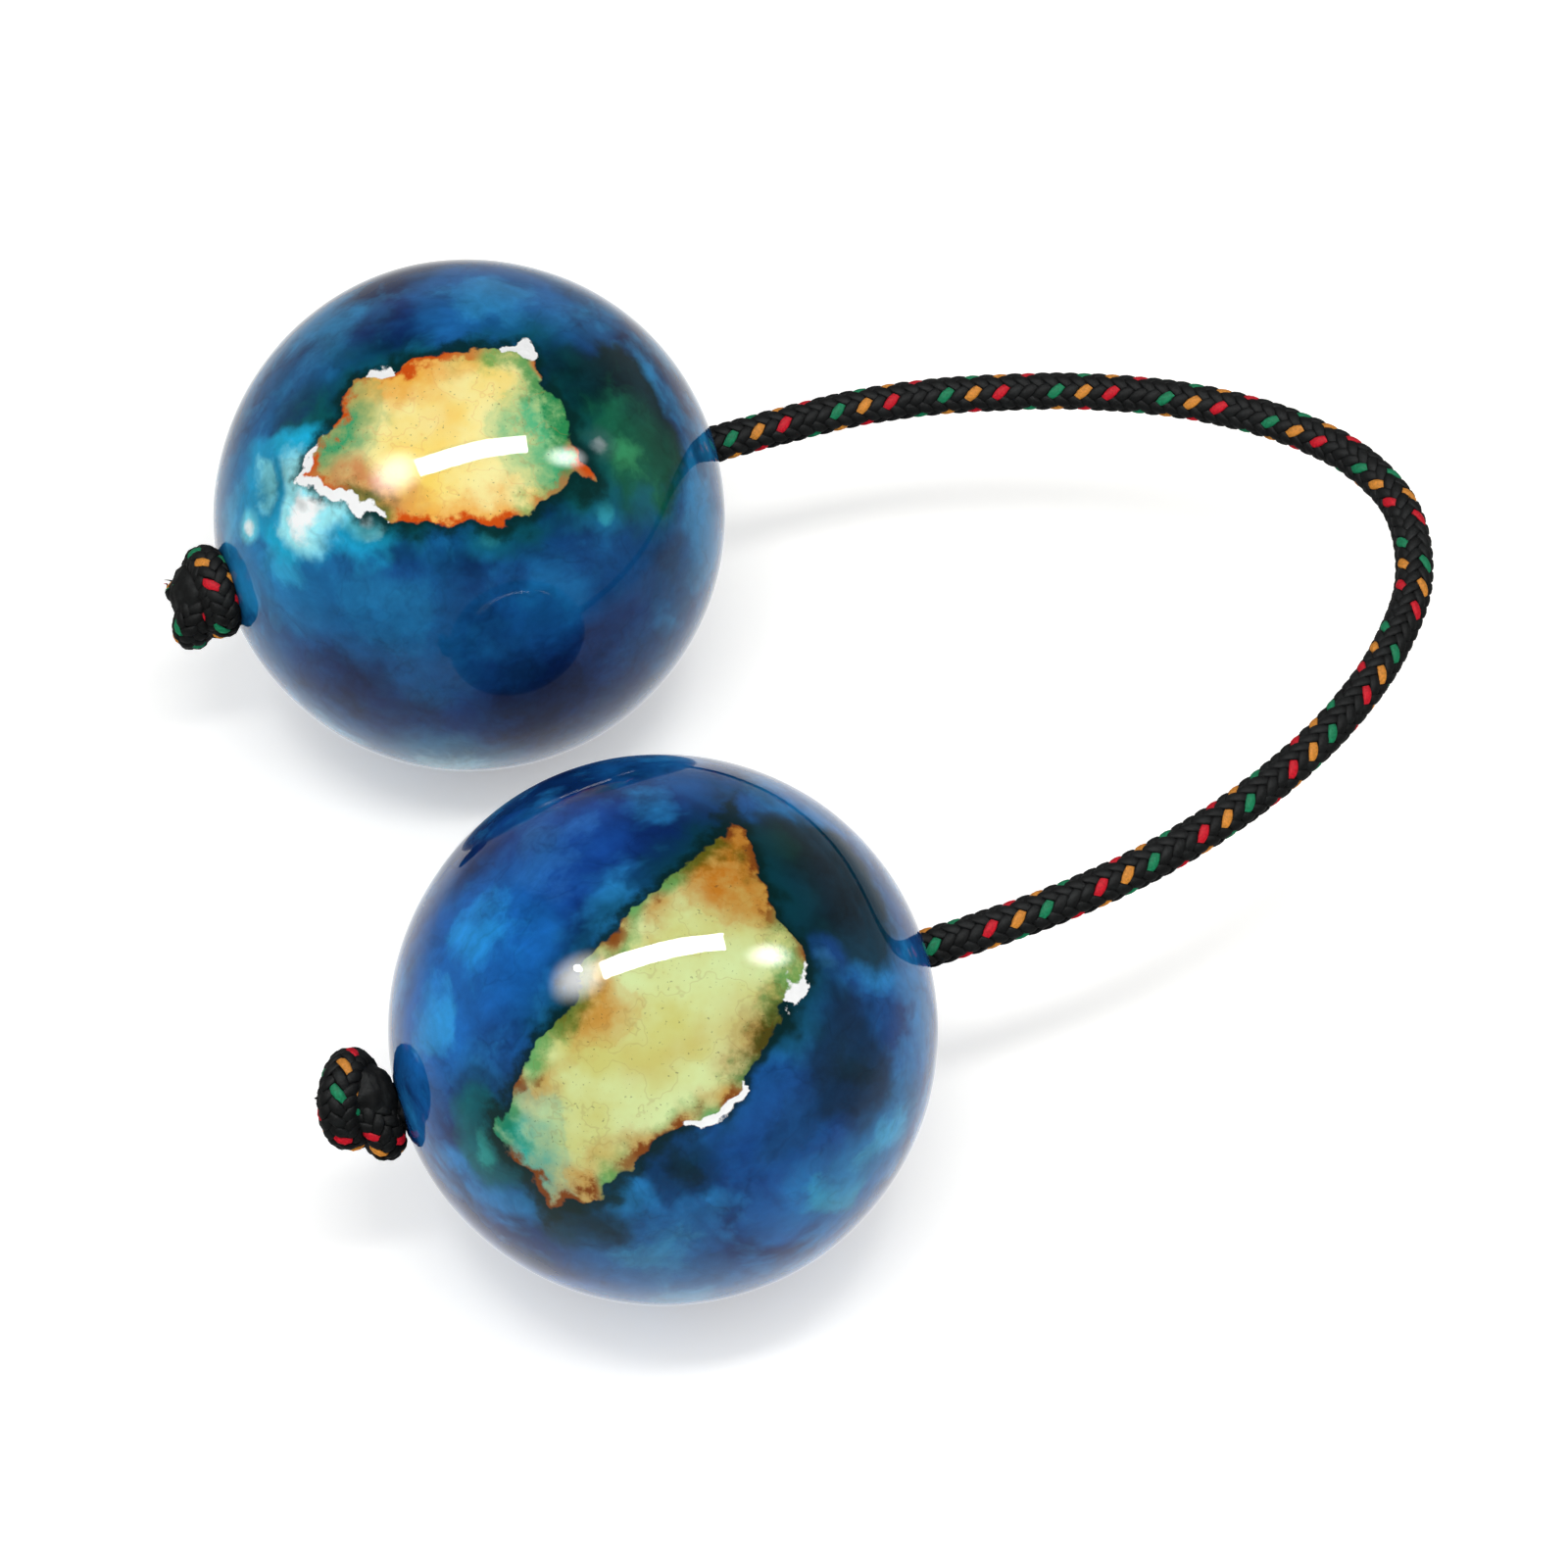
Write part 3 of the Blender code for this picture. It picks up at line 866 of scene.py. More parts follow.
class CordLine:
    """A cord's centre line, with a frame that turns as little as it can."""

    def __init__(self, curve: Sequence[Vector], first_out: Vector, first_arc: float = 0.0) -> None:
        """Measure the line and carry the frame along it.

        Args:
            curve: Dense points on the line.
            first_out: A direction across the line at its start.
            first_arc: The arc length that the line starts at.
        """
        self.curve = list(curve)
        self.arcs = [first_arc]
        for start, end in zip(self.curve, self.curve[1:]):
            self.arcs.append(self.arcs[-1] + (end - start).length)
        self.outs: list[Vector] = []
        out = first_out
        for index in range(len(self.curve)):
            along = self.direction(index)
            out = (out - along * out.dot(along)).normalized()
            self.outs.append(out)

    def direction(self, index: int) -> Vector:
        """Return the line's direction at one of its points."""
        low, high = max(index - 1, 0), min(index + 1, len(self.curve) - 1)
        return (self.curve[high] - self.curve[low]).normalized()

    def station(self, arc: float) -> Station:
        """Find the place and frame at an arc length.

        Args:
            arc: The arc length.

        Returns:
            The station there.
        """
        index = min(max(bisect_right(self.arcs, arc), 1), len(self.curve) - 1)
        share = (arc - self.arcs[index - 1]) / (self.arcs[index] - self.arcs[index - 1])
        place = self.curve[index - 1].lerp(self.curve[index], share)
        along = self.direction(index - 1).lerp(self.direction(index), share).normalized()
        out = self.outs[index - 1].lerp(self.outs[index], share)
        out = (out - along * out.dot(along)).normalized()
        return Station(place, out, along.cross(out), arc)

    def stations(self, start: float, end: float, step: float) -> list[Station]:
        """Return evenly spaced stations between two arc lengths."""
        count = max(2, round((end - start) / step))
        return [self.station(start + (end - start) * index / count) for index in range(count + 1)]


@dataclass(frozen=True)
class GourdSizes:
    """Where the gourds lie and how they are cut, in metres."""

    diameter: float = 0.056
    wall: float = 0.003
    spacing: float = 0.0725
    bore_rise: float = math.radians(4.2)
    hole_radius: float = 0.0023
    chamfer: float = 0.0006
    rest_flat: float = 0.010

    @property
    def radius(self) -> float:
        """The gourd's outer radius."""
        return self.diameter / 2

    @property
    def centre_height(self) -> float:
        """The height of the gourds' centres over the ground."""
        return math.sqrt(self.radius ** 2 - (self.rest_flat / 2) ** 2)

    def frame_at(self, across: float) -> Matrix:
        """Return the frame whose X axis runs along the bores, at a place across them."""
        turn = Matrix.Rotation(-self.bore_rise, 4, "Y")
        return Matrix.Translation((0.0, across, self.centre_height)) @ turn

    def bore(self, side: Side) -> Matrix:
        """Return the frame at the middle of one gourd's bore."""
        half = self.spacing / 2
        return self.frame_at(half if side is Side.REAR else -half)


def new_piece(name: str, places: Sequence, edges: Sequence, faces: Sequence) -> Object:
    """Put a new mesh into the scene, as a piece at the origin.

    Args:
        name: The piece's name.
        places: Where its points are.
        edges: The points that each loose edge joins.
        faces: The points of each face.

    Returns:
        The piece.
    """
    mesh = bpy.data.meshes.new(name)
    mesh.from_pydata(places, edges, faces)
    piece = bpy.data.objects.new(name, mesh)
    bpy.context.scene.collection.objects.link(piece)
    return piece


def note(piece: Object, name: str, kind: str, values: Sequence[float]) -> None:
    """Store a named attribute on the points of a piece."""
    data = piece.data.attributes.new(name, kind, "POINT").data
    data.foreach_set("vector" if kind == "FLOAT_VECTOR" else "value", values)


class ShapeGroup(NodeGroup):
    """A shared geometry tree, which makes a piece's shape from its points or lines."""

    kind: str = "GeometryNodeTree"

    def __init__(self, name: str, start: str, numbers: Sequence[str],
                 counts: Sequence[str] = ()) -> None:
        """Make the tree and its sockets.

        Args:
            name: The tree's name.
            start: The name of the input for the geometry that it starts from.
            numbers: The names of its inputs for numbers.
            counts: The names of its inputs for whole numbers.
        """
        super().__init__(name, {
            "Geometry": (start,), "Float": numbers, "Int": counts, "Material": ("Material",),
        }, {"Geometry": ("Geometry",)})

    def attribute(self, name: str, kind: str) -> Wire:
        """Return a named attribute's field."""
        return self.out("GeometryNodeInputNamedAttribute", {"Name": name}, data_type=kind)

    def store(self, geometry: Wire, name: str, kind: str, value: Feed) -> Wire:
        """Store a named attribute on points and return the geometry."""
        feeds = {"Geometry": geometry, "Name": name, "Value": value}
        return self.out("GeometryNodeStoreNamedAttribute", feeds, data_type=kind, domain="POINT")

    def curves(self, lines: Wire) -> Wire:
        """Return the curves that a mesh's edges make."""
        return self.out("GeometryNodeMeshToCurve", {"Mesh": lines})

    def ring(self, points: int, radius: Feed) -> Wire:
        """Return a round section."""
        feeds = {"Resolution": points, "Radius": radius}
        return self.out("GeometryNodeCurvePrimitiveCircle", feeds)

    def sweep(self, curves: Wire, section: Wire, scale: Wire) -> Wire:
        """Return tubes along curves, closed at their ends."""
        feeds = {"Curve": curves, "Profile Curve": section, "Fill Caps": True, "Scale": scale}
        return self.out("GeometryNodeCurveToMesh", feeds)

    def finish(self, shape: Wire, smooth: bool = True) -> None:
        """Give the shape its material and send it out.

        Args:
            shape: The finished geometry.
            smooth: Whether its faces are shaded smooth.
        """
        shape = self.out("GeometryNodeRealizeInstances", {0: shape})
        if smooth:
            shape = self.out("GeometryNodeSetShadeSmooth", {0: shape})
        feeds = {"Geometry": shape, "Material": self["Material"]}
        self.give("Geometry", self.out("GeometryNodeSetMaterial", feeds))

    def settle(self, piece: Object, values: dict) -> None:
        """Run the tree on a piece and keep its result as a plain mesh.

        Args:
            piece: The object that holds the tree's input mesh.
            values: What each named input gets.
        """
        modifier = piece.modifiers.new(self.tree.name, "NODES")
        modifier.node_group = self.tree
        for item in self.tree.interface.items_tree:
            if item.in_out == "INPUT" and item.name in values:
                modifier[item.identifier] = values[item.name]
        graph = bpy.context.evaluated_depsgraph_get()
        mesh = bpy.data.meshes.new_from_object(piece.evaluated_get(graph))
        piece.modifiers.clear()
        piece.data = mesh


class SeedHeap(ShapeGroup):
    """Lays a seed on each point, turned as the point says."""

    dent_scale: float = 520.0

    def __init__(self) -> None:
        """Build the tree."""
        super().__init__("seed_heap", "Points", ("Length", "Width", "Thickness", "Dents"))
        ball = self.out("GeometryNodeMeshIcoSphere", {"Radius": 0.5, "Subdivisions": 4})
        size = self.point(self["Length"], self["Width"], self["Thickness"])
        seed = self.out("GeometryNodeTransform", {"Geometry": ball, "Scale": size})
        here = self.out("GeometryNodeInputPosition", {})
        dent = self.grain(here, self.dent_scale, 2.0) * self["Dents"] * -1.0
        offset = self.out("GeometryNodeInputNormal", {}).scaled(dent)
        seed = self.out("GeometryNodeSetPosition", {"Geometry": seed, "Offset": offset})
        self.finish(self.out("GeometryNodeInstanceOnPoints", {
            "Points": self["Points"], "Instance": seed,
            "Rotation": self.attribute("turn", "QUATERNION"),
        }))


@dataclass
class Gourd:
    """One hollow gourd with its loose seeds.

    Sizes are in metres.
    """

    side: Side
    sizes: GourdSizes
    lacquer: MarbledLacquer
    outer_steps: int = 176
    inner_steps: int = 40
    turn_steps: int = 224
    sharp_angle: float = math.radians(28.0)
    swell: float = 0.00014
    swell_size: float = 0.019
    ripple: float = 0.000012
    ripple_size: float = 0.0042
    seeds: int = 12
    seed_length: float = 0.006
    seed_width: float = 0.005
    seed_thickness: float = 0.0044
    seed_dents: float = 0.0002
    seed_step: float = 0.0042
    seed_clearance: float = 0.0003

    @property
    def bore(self) -> Matrix:
        """The frame at the middle of the gourd's bore."""
        return self.sizes.bore(self.side)

    @staticmethod
    def arch(radius: float, rim: float, steps: int) -> list[tuple[float, float]]:
        """Return points along and beside the bore, from rim to rim of a round wall."""
        angles = [rim + (math.pi - 2 * rim) * step / steps for step in range(steps + 1)]
        return [(radius * math.cos(angle), radius * math.sin(angle)) for angle in angles]

    def outline(self) -> tuple[list[tuple[float, float]], int]:
        """Draw the wall's closed outline beside the bore.

        Returns:
            The outline's points, and how many of them are on the outside.
        """
        sizes = self.sizes
        cavity = sizes.radius - sizes.wall
        rim = math.asin((sizes.hole_radius + sizes.chamfer) / sizes.radius)
        inner_rim = math.asin(sizes.hole_radius / cavity)
        chamfer_x = sizes.radius * math.cos(rim) - sizes.chamfer
        outer = self.arch(sizes.radius, rim, self.outer_steps)
        inner = self.arch(cavity, inner_rim, self.inner_steps)
        rear, front = (-chamfer_x, sizes.hole_radius), (chamfer_x, sizes.hole_radius)
        return [*outer, rear, *reversed(inner), front], len(outer)

    def skin_offset(self, place: Vector) -> float:
        """Return how far the grown skin stands out or in at a place."""
        swell = noise.noise(place / self.swell_size) * self.swell
        return swell + noise.noise(place / self.ripple_size) * self.ripple

    def build_skin(self, marbling: Marbling) -> Object:
        """Turn the shell round its bore, with the slight waves of a grown gourd.

        Args:
            marbling: The shared shader groups of the lacquer.

        Returns:
            The shell's piece.
        """
        bore = self.bore
        outline, outer = self.outline()
        vertices, faces = [], []
        for turn in range(self.turn_steps):
            angle = math.tau * turn / self.turn_steps
            for index, (along, beside) in enumerate(outline):
                local = Vector((along, beside * math.cos(angle), beside * math.sin(angle)))
                if index < outer:
                    local *= 1.0 + self.skin_offset(bore @ local) / self.sizes.radius
                place = bore @ local
                place.z = max(place.z, 0.0)
                vertices.append(place)
        count = len(outline)
        for turn in range(self.turn_steps):
            here, there = turn * count, (turn + 1) % self.turn_steps * count
            for index in range(count):
                after = (index + 1) % count
                faces.append((here + index, there + index, there + after, here + after))
        piece = new_piece(f"{self.side.value}_gourd_skin", vertices, [], faces)
        piece.data.materials.append(self.lacquer.make(bore.translation, marbling))
        piece.data.shade_smooth()
        piece.data.set_sharp_from_angle(angle=self.sharp_angle)
        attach(piece, f"{self.side.value}_gourd")
        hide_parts(f"{self.side.value}_gourd_shell")
        return piece

    def build_seeds(self, heap: SeedHeap, material: Material) -> Object:
        """Lay the loose seeds at the bottom of the gourd.

        Args:
            heap: The geometry tree that lays a seed on each point.
            material: The seeds' finish.

        Returns:
            The heap's piece.
        """
        bore = self.bore
        seat = self.sizes.radius - self.sizes.wall - self.seed_clearance - self.seed_thickness / 2
        places, turns = [], []
        for index in range(self.seeds):
            turn = index * GOLDEN_ANGLE
            reach = self.seed_step * math.sqrt(index + 0.5) / seat
            flat = math.sin(reach)
            outward = Vector((flat * math.cos(turn), flat * math.sin(turn), -math.cos(reach)))
            about = Matrix.Rotation(turn, 4, "Z").to_quaternion()
            turns.extend(bore.to_quaternion() @ outward.to_track_quat("Z", "Y") @ about)
            places.append(bore @ (outward * seat))
        piece = new_piece(f"{self.side.value}_loose_seeds", places, [], [])
        note(piece, "turn", "QUATERNION", turns)
        heap.settle(piece, {
            "Length": self.seed_length, "Width": self.seed_width,
            "Thickness": self.seed_thickness, "Dents": self.seed_dents, "Material": material,
        })
        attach(piece, f"{self.side.value}_seed_heap")
        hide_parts(*[f"{self.side.value}_seed_{index + 1:02d}"
                             for index in range(self.seeds)])
        return piece


@dataclass(frozen=True)
class CordSizes:
    """Sizes of the cord and of its braid, in metres.

    The knot's pitch is a share of the free cord's, and the blend's margin and
    the fray's reach are shares of the diameter. The first green yarn and the
    place where it shows are shares of a turn. A lump of a knot's heart gives
    its height and its fineness, and the fibres' ranges are shares of a length.
    """

    diameter: float = 0.004
    knot_diameter: float = 0.0044
    knot_pitch: float = 0.60
    pieces: int = 5
    carriers: int = 16
    lead: float = 0.0123
    first_fleck: float = 0.0019
    green_turn: float = 1.0 / 8.0
    shown_turn: float = 56.25 / 360.0
    float_height: float = 0.00016
    yarn_width: float = 0.00122
    yarn_thickness: float = 0.00052
    core_radius: float = 0.00146
    step: float = 0.00031
    row_turn: float = math.radians(-20.0)
    row_twist: float = math.radians(20.0) / 0.1656
    blend_margin: float = 0.36
    seat_depth: float = 0.0015
    clearance: float = 0.0003
    press_gap: float = 0.00018
    tail_end: float = 0.0011
    tail_narrowing: float = 0.8
    fray_reach: float = 0.42
    fibre_radius: float = 0.00011
    fibre_points: int = 6
    fibre_root: float = 0.0006
    fibre_spread: tuple[float, float] = (0.1, 0.9)
    fibre_sway: tuple[float, float] = (-0.3, 0.3)
    fibre_lengths: tuple[float, float] = (0.45, 1.0)
    heart_detail: int = 5
    heart_lumps: tuple[tuple[float, float], ...] = ((0.05, 3.0), (0.03, 9.0))

    @property
    def braid_radius(self) -> float:
        """The radius that the yarns weave in and out of."""
        return self.diameter / 2 - self.yarn_thickness / 2 - self.float_height * 0.5

    @property
    def fleck_shift(self) -> float:
        """How far the braid is shifted so that its first green fleck shows where it should."""
        return self.first_fleck - self.lead * (self.green_turn - self.shown_turn)


class BraidWeave(ShapeGroup):
    """Weaves sixteen yarns, two over and two under, round a line.

    The coloured yarns are given by their numbers among those of their hand.
    """

    coloured: tuple[tuple[Ply, float], ...] = ((Ply.GREEN, 1.0), (Ply.ORANGE, 3.0), (Ply.RED, 5.0))
    firmness: float = 1.7
    least_swell: float = 0.5
    more_swell: float = 0.55
    colour_slimming: float = -0.14

    def __init__(self) -> None:
        """Build the tree."""
        super().__init__("braid_weave", "Line", (
            "Lead", "Braid Radius", "Float Height", "Yarn Width", "Yarn Thickness", "Core Radius",
            "Row Turn", "Row Twist",
        ), ("Carriers",))
        line = self.curves(self["Line"])
        feeds = {"Geometry": line, "Amount": self["Carriers"]}
        copies = self.add("GeometryNodeDuplicateElements", feeds, domain="SPLINE").outputs
        yarns, number = Wire(self, copies[0]), Wire(self, copies[1])
        half = self["Carriers"] * 0.5
        leftward = self.math("GREATER_THAN", number, half - 0.5)
        hand = leftward * -2.0 + 1.0
        slot = number - leftward * half
        radial, height, rise = self.weave_path(hand, slot, half)
        girth = self.attribute("girth", "FLOAT")
        offset = radial.scaled(height * girth)
        ply = self.ply_of(leftward, slot)
        swell = (rise * self.more_swell + self.least_swell) * girth
        slim = self.math("MINIMUM", ply, 1.0) * self.colour_slimming + 1.0
        yarns = self.store(yarns, "radial", "FLOAT_VECTOR", radial)
        yarns = self.store(yarns, "swell", "FLOAT", swell * slim)
        yarns = self.store(yarns, "ply", "FLOAT", ply)
        yarns = self.out("GeometryNodeSetPosition", {"Geometry": yarns, "Offset": offset})
        feeds = {"Curve": yarns, "Normal": self.attribute("radial", "FLOAT_VECTOR")}
        yarns = self.out("GeometryNodeSetCurveNormal", feeds, mode="FREE")
        flat = self.point(self["Yarn Thickness"], self["Yarn Width"], 1.0)
        feeds = {"Geometry": self.ring(8, 0.5), "Scale": flat}
        section = self.out("GeometryNodeTransform", feeds)
        woven = self.sweep(yarns, section, self.attribute("swell", "FLOAT"))
        core = self.store(line, "ply", "FLOAT", 0.0)
        core = self.sweep(core, self.ring(16, self["Core Radius"]), girth)
        joined = self.add("GeometryNodeJoinGeometry", {})
        for part in (woven, core):
            self.feed(joined.inputs[0], part)
        self.finish(Wire(self, joined.outputs[0]))

    def weave_path(self, hand: Wire, slot: Wire, half: Wire) -> tuple[Wire, Wire, Wire]:
        """Work out where a yarn runs.

        Args:
            hand: 1 for a yarn that winds one way and -1 for the other way.
            slot: The yarn's number among those of its hand.
            half: How many yarns each hand has.

        Returns:
            The direction out of the cord, how far out the yarn lies, and how
            far it has risen over the others, from 0 to 1.
        """
        arc = self.attribute("arc", "FLOAT")
        turns = arc / self["Lead"]
        common = arc * self["Row Twist"] + self["Row Turn"]
        angle = (turns * hand + slot / half) * math.tau + common
        phase = slot * 2.0 + turns * hand * (half * 2.0)
        swing = self.math("COSINE", (phase - 0.5) * (math.pi / 2))
        firm = self.math("TANH", swing * self.firmness) * hand
        height = firm * self["Float Height"] + self["Braid Radius"]
        out = self.attribute("out", "FLOAT_VECTOR").scaled(self.math("COSINE", angle))
        side = self.attribute("side", "FLOAT_VECTOR").scaled(self.math("SINE", angle))
        return out + side, height, swing * hand * 0.5 + 0.5

    def ply_of(self, leftward: Wire, slot: Wire) -> Wire:
        """Find a yarn's colour number: some of one hand's yarns are coloured.

        Args:
            leftward: 1 for the hand that has the coloured yarns.
            slot: The yarn's number among those of its hand.

        Returns:
            The colour number.
        """
        total: Feed = 0.0
        for ply, place in self.coloured:
            total = self.math("COMPARE", slot, place, 0.1) * float(ply.value) + total
        return total * leftward


class FrayedEnd(ShapeGroup):
    """Thickens loose fibres along their lines, thin at the tips."""

    thinning: float = -0.7

    def __init__(self) -> None:
        """Build the tree."""
        super().__init__("frayed_end", "Lines", ("Fibre Radius",))
        share = self.out("GeometryNodeSplineParameter", {}, "Factor")
        scale = share * self.thinning + 1.0
        ring = self.ring(4, self["Fibre Radius"])
        self.finish(self.sweep(self.curves(self["Lines"]), ring, scale), smooth=False)


@dataclass(frozen=True)
class KnotLay:
    """The route of one stopper knot, the turns pulled tight inside it, and its frayed tail.

    The route and the heart's place give metres out from the pole, across and up.
    """

    route: tuple[Triple, ...]
    heart_place: Triple
    heart_radii: Triple
    fibres: int
    fibre_reach: float
    seed: int


REAR_KNOT = KnotLay((
    (-0.0015, 0.0000, 0.0000), (0.0002, -0.0005, 0.0006), (0.0013, -0.0016, 0.0020),
    (0.0023, -0.0027, 0.0028), (0.0033, -0.0036, 0.0024), (0.0042, -0.0041, 0.0012),
    (0.0047, -0.0038, -0.0006), (0.0045, -0.0027, -0.0022), (0.0037, -0.0009, -0.0027),
    (0.0029, 0.0007, -0.0018), (0.0022, 0.0015, 0.0000), (0.0019, 0.0013, 0.0019),
    (0.0017, 0.0005, 0.0039), (0.0013, -0.0009, 0.0052), (0.0011, -0.0030, 0.0054),
    (0.0010, -0.0047, 0.0042), (0.0011, -0.0053, 0.0024), (0.0013, -0.0047, 0.0007),
    (0.0018, -0.0035, -0.0004), (0.0024, -0.0023, -0.0004), (0.0032, -0.0015, 0.0001),
    (0.0037, -0.0008, 0.0010), (0.0042, -0.0003, 0.0019), (0.0045, 0.0004, 0.0029),
), (0.0024, -0.0018, 0.0013), (0.0037, 0.0041, 0.0047), 20, 0.0010, 5)

FRONT_KNOT = KnotLay((
    (-0.0015, 0.0000, 0.0000), (0.0004, 0.0002, 0.0000), (0.0017, 0.0007, -0.0003),
    (0.0033, 0.0006, -0.0005), (0.0045, -0.0003, -0.0002), (0.0055, -0.0010, 0.0008),
    (0.0060, -0.0010, 0.0027), (0.0058, -0.0002, 0.0045), (0.0049, 0.0014, 0.0055),
    (0.0040, 0.0031, 0.0049), (0.0032, 0.0041, 0.0033), (0.0029, 0.0042, 0.0012),
    (0.0027, 0.0039, -0.0010), (0.0023, 0.0029, -0.0027), (0.0022, 0.0008, -0.0034),
    (0.0021, -0.0011, -0.0026), (0.0022, -0.0021, -0.0009), (0.0024, -0.0018, 0.0010),
    (0.0030, -0.0008, 0.0022), (0.0037, 0.0005, 0.0024), (0.0046, 0.0014, 0.0021),
    (0.0052, 0.0019, 0.0024), (0.0058, 0.0024, 0.0029), (0.0062, 0.0030, 0.0034),
), (0.0029, 0.0011, 0.0012), (0.0034, 0.0036, 0.0049), 16, 0.0008, 11)


@dataclass
class BraidedCord:
    """The one cord: the loop, the cores in the gourds and the two stopper knots.

    The loop's route gives metres out from a gourd's pole and the share of half
    the gourds' spacing.
    """

    gourds: GourdSizes
    sizes: CordSizes
    yarn: Material
    weave: BraidWeave
    fray: FrayedEnd
    loop_route: tuple[tuple[float, float], ...] = (
        (0.0000, 1.000), (0.0080, 0.995), (0.0165, 0.980), (0.0245, 0.940),
        (0.0320, 0.880), (0.0395, 0.805), (0.0470, 0.705), (0.0540, 0.580),
        (0.0602, 0.425), (0.0650, 0.235), (0.0670, 0.000), (0.0645, -0.260),
        (0.0585, -0.475), (0.0515, -0.635), (0.0440, -0.757), (0.0362, -0.852),
        (0.0285, -0.920), (0.0208, -0.965), (0.0130, -0.990), (0.0055, -0.999),
        (0.0000, -1.000),
    )
    bodies: tuple[str, ...] = (
        "rear_cord_end", "cord_link_2", "cord_link_3", "cord_link_4", "cord_link_5",
        "front_cord_end",
    )
    knots: dict[Side, KnotLay] = field(
        default_factory=lambda: {Side.REAR: REAR_KNOT, Side.FRONT: FRONT_KNOT})
    fray_plies: tuple[Ply, ...] = (
        Ply.BLACK, Ply.BLACK, Ply.BLACK, Ply.BLACK, Ply.GREEN, Ply.RED,
    )

    def __post_init__(self) -> None:
        """Lay the cord's line through both bores."""
        plane = self.gourds.frame_at(0.0)
        half, radius = self.gourds.spacing / 2, self.gourds.radius
        inner = radius - self.sizes.seat_depth - self.sizes.clearance
        route = [Vector((radius + out, share * half, 0.0)) for out, share in self.loop_route]
        ends = [Vector((-inner, side, 0.0)) for side in (half, -half)]
        whole = [ends[0], *smooth_curve(route), ends[1]]
        up = plane.to_3x3() @ Vector((0.0, 0.0, 1.0))
        self.core_length = inner + radius
        self.line = CordLine([plane @ point for point in whole], up, -self.core_length)
        self.loop_length = self.line.arcs[-2]

    def braid(self, name: str, stations: Sequence[Station], size: float = 1.0,
              pitch: float = 1.0, closing: float = 0.0) -> Object:
        """Weave one piece of the cord along a line.

        Args:
            name: The piece's name.
            stations: The line that it follows.
            size: The share of the free cord's thickness.
            pitch: The share of the free cord's pitch.
            closing: How long the rounded end is.

        Returns:
            The piece, as a plain mesh.
        """
        sizes = self.sizes
        edges = [(index, index + 1) for index in range(len(stations) - 1)]
        piece = new_piece(name, [station.place for station in stations], edges, [])
        close_from = stations[-1].arc - closing
        shares = [max(0.0, item.arc - close_from) / max(closing, 1e-6) for item in stations]
        girths = [math.sqrt(1.0 - sizes.tail_narrowing * share ** 2) for share in shares]
        note(piece, "out", "FLOAT_VECTOR", [part for item in stations for part in item.out])
        note(piece, "side", "FLOAT_VECTOR", [part for item in stations for part in item.side])
        note(piece, "arc", "FLOAT", [item.arc - sizes.fleck_shift for item in stations])
        note(piece, "girth", "FLOAT", girths)
        self.weave.settle(piece, {
            "Carriers": sizes.carriers, "Lead": sizes.lead * pitch,
            "Braid Radius": sizes.braid_radius * size, "Float Height": sizes.float_height * size,
            "Yarn Width": sizes.yarn_width, "Yarn Thickness": sizes.yarn_thickness,
            "Core Radius": sizes.core_radius * size, "Row Turn": sizes.row_turn,
            "Row Twist": sizes.row_twist, "Material": self.yarn,
        })
        return piece

    def build_loop(self) -> list[Object]:
        """Weave the free loop in pieces.

        Returns:
            The loop's pieces, from the rear gourd to the front one.
        """
        sizes = self.sizes
        length = self.loop_length / sizes.pieces
        pieces = []
        for index in range(sizes.pieces):
            stations = self.line.stations(index * length, (index + 1) * length, sizes.step)
            piece = self.braid(f"loop_braid_{index + 1}", stations)
            start, end = stations[0].place, stations[-1].place
            margin = (end - start).normalized() * sizes.diameter * sizes.blend_margin
            start + margin
            end - margin
            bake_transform(piece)
            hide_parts(f"cord_stretch_{index + 1}", f"cord_stretch_{index + 2}")
            pieces.append(piece)
        return pieces

    def build_core(self, side: Side) -> Object:
        """Weave the straight stretch inside one gourd.

        Args:
            side: Which gourd it runs through.

        Returns:
            The core's piece.
        """
        start = -self.core_length if side is Side.REAR else self.loop_length
        stations = self.line.stations(start, start + self.core_length, self.sizes.step)
        piece = self.braid(f"{side.value}_core_braid", stations)
        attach(piece, f"{side.value}_cord_end")
        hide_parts(f"{side.value}_cord_core")
        return piece

    def knot_line(self, side: Side) -> CordLine:
        """Find the line that one stopper knot is tied along.

        Args:
            side: Which gourd it stops.

        Returns:
            The line.
        """
        bore = self.gourds.bore(side)
        pole = Vector((-self.gourds.radius, 0.0, 0.0))
        rows = self.knots[side].route
        route = [bore @ (pole + Vector((-out, across, up))) for out, across, up in rows]
        return CordLine(smooth_curve(route), Vector((0.0, 0.0, 1.0)))

    def build_knot(self, side: Side) -> list[Object]:
        """Weave one stopper knot and fray its tail.

        Args:
            side: Which gourd it stops.

        Returns:
            The knot's piece and its frayed end.
        """
        sizes = self.sizes
        line = self.knot_line(side)
        length = line.arcs[-1]
        stations = line.stations(0.0, length, sizes.step)
        knot = self.braid(f"{side.value}_knot_braid", stations,
                          sizes.knot_diameter / sizes.diameter, sizes.knot_pitch, sizes.tail_end)
        self.fill(knot, side)
        self.press(knot, side)
        tuft = self.build_fray(side, stations)
        for piece in (knot, tuft):
            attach(piece, f"{side.value}_cord_end")
        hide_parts(f"{side.value}_knot")
        return [knot, tuft]

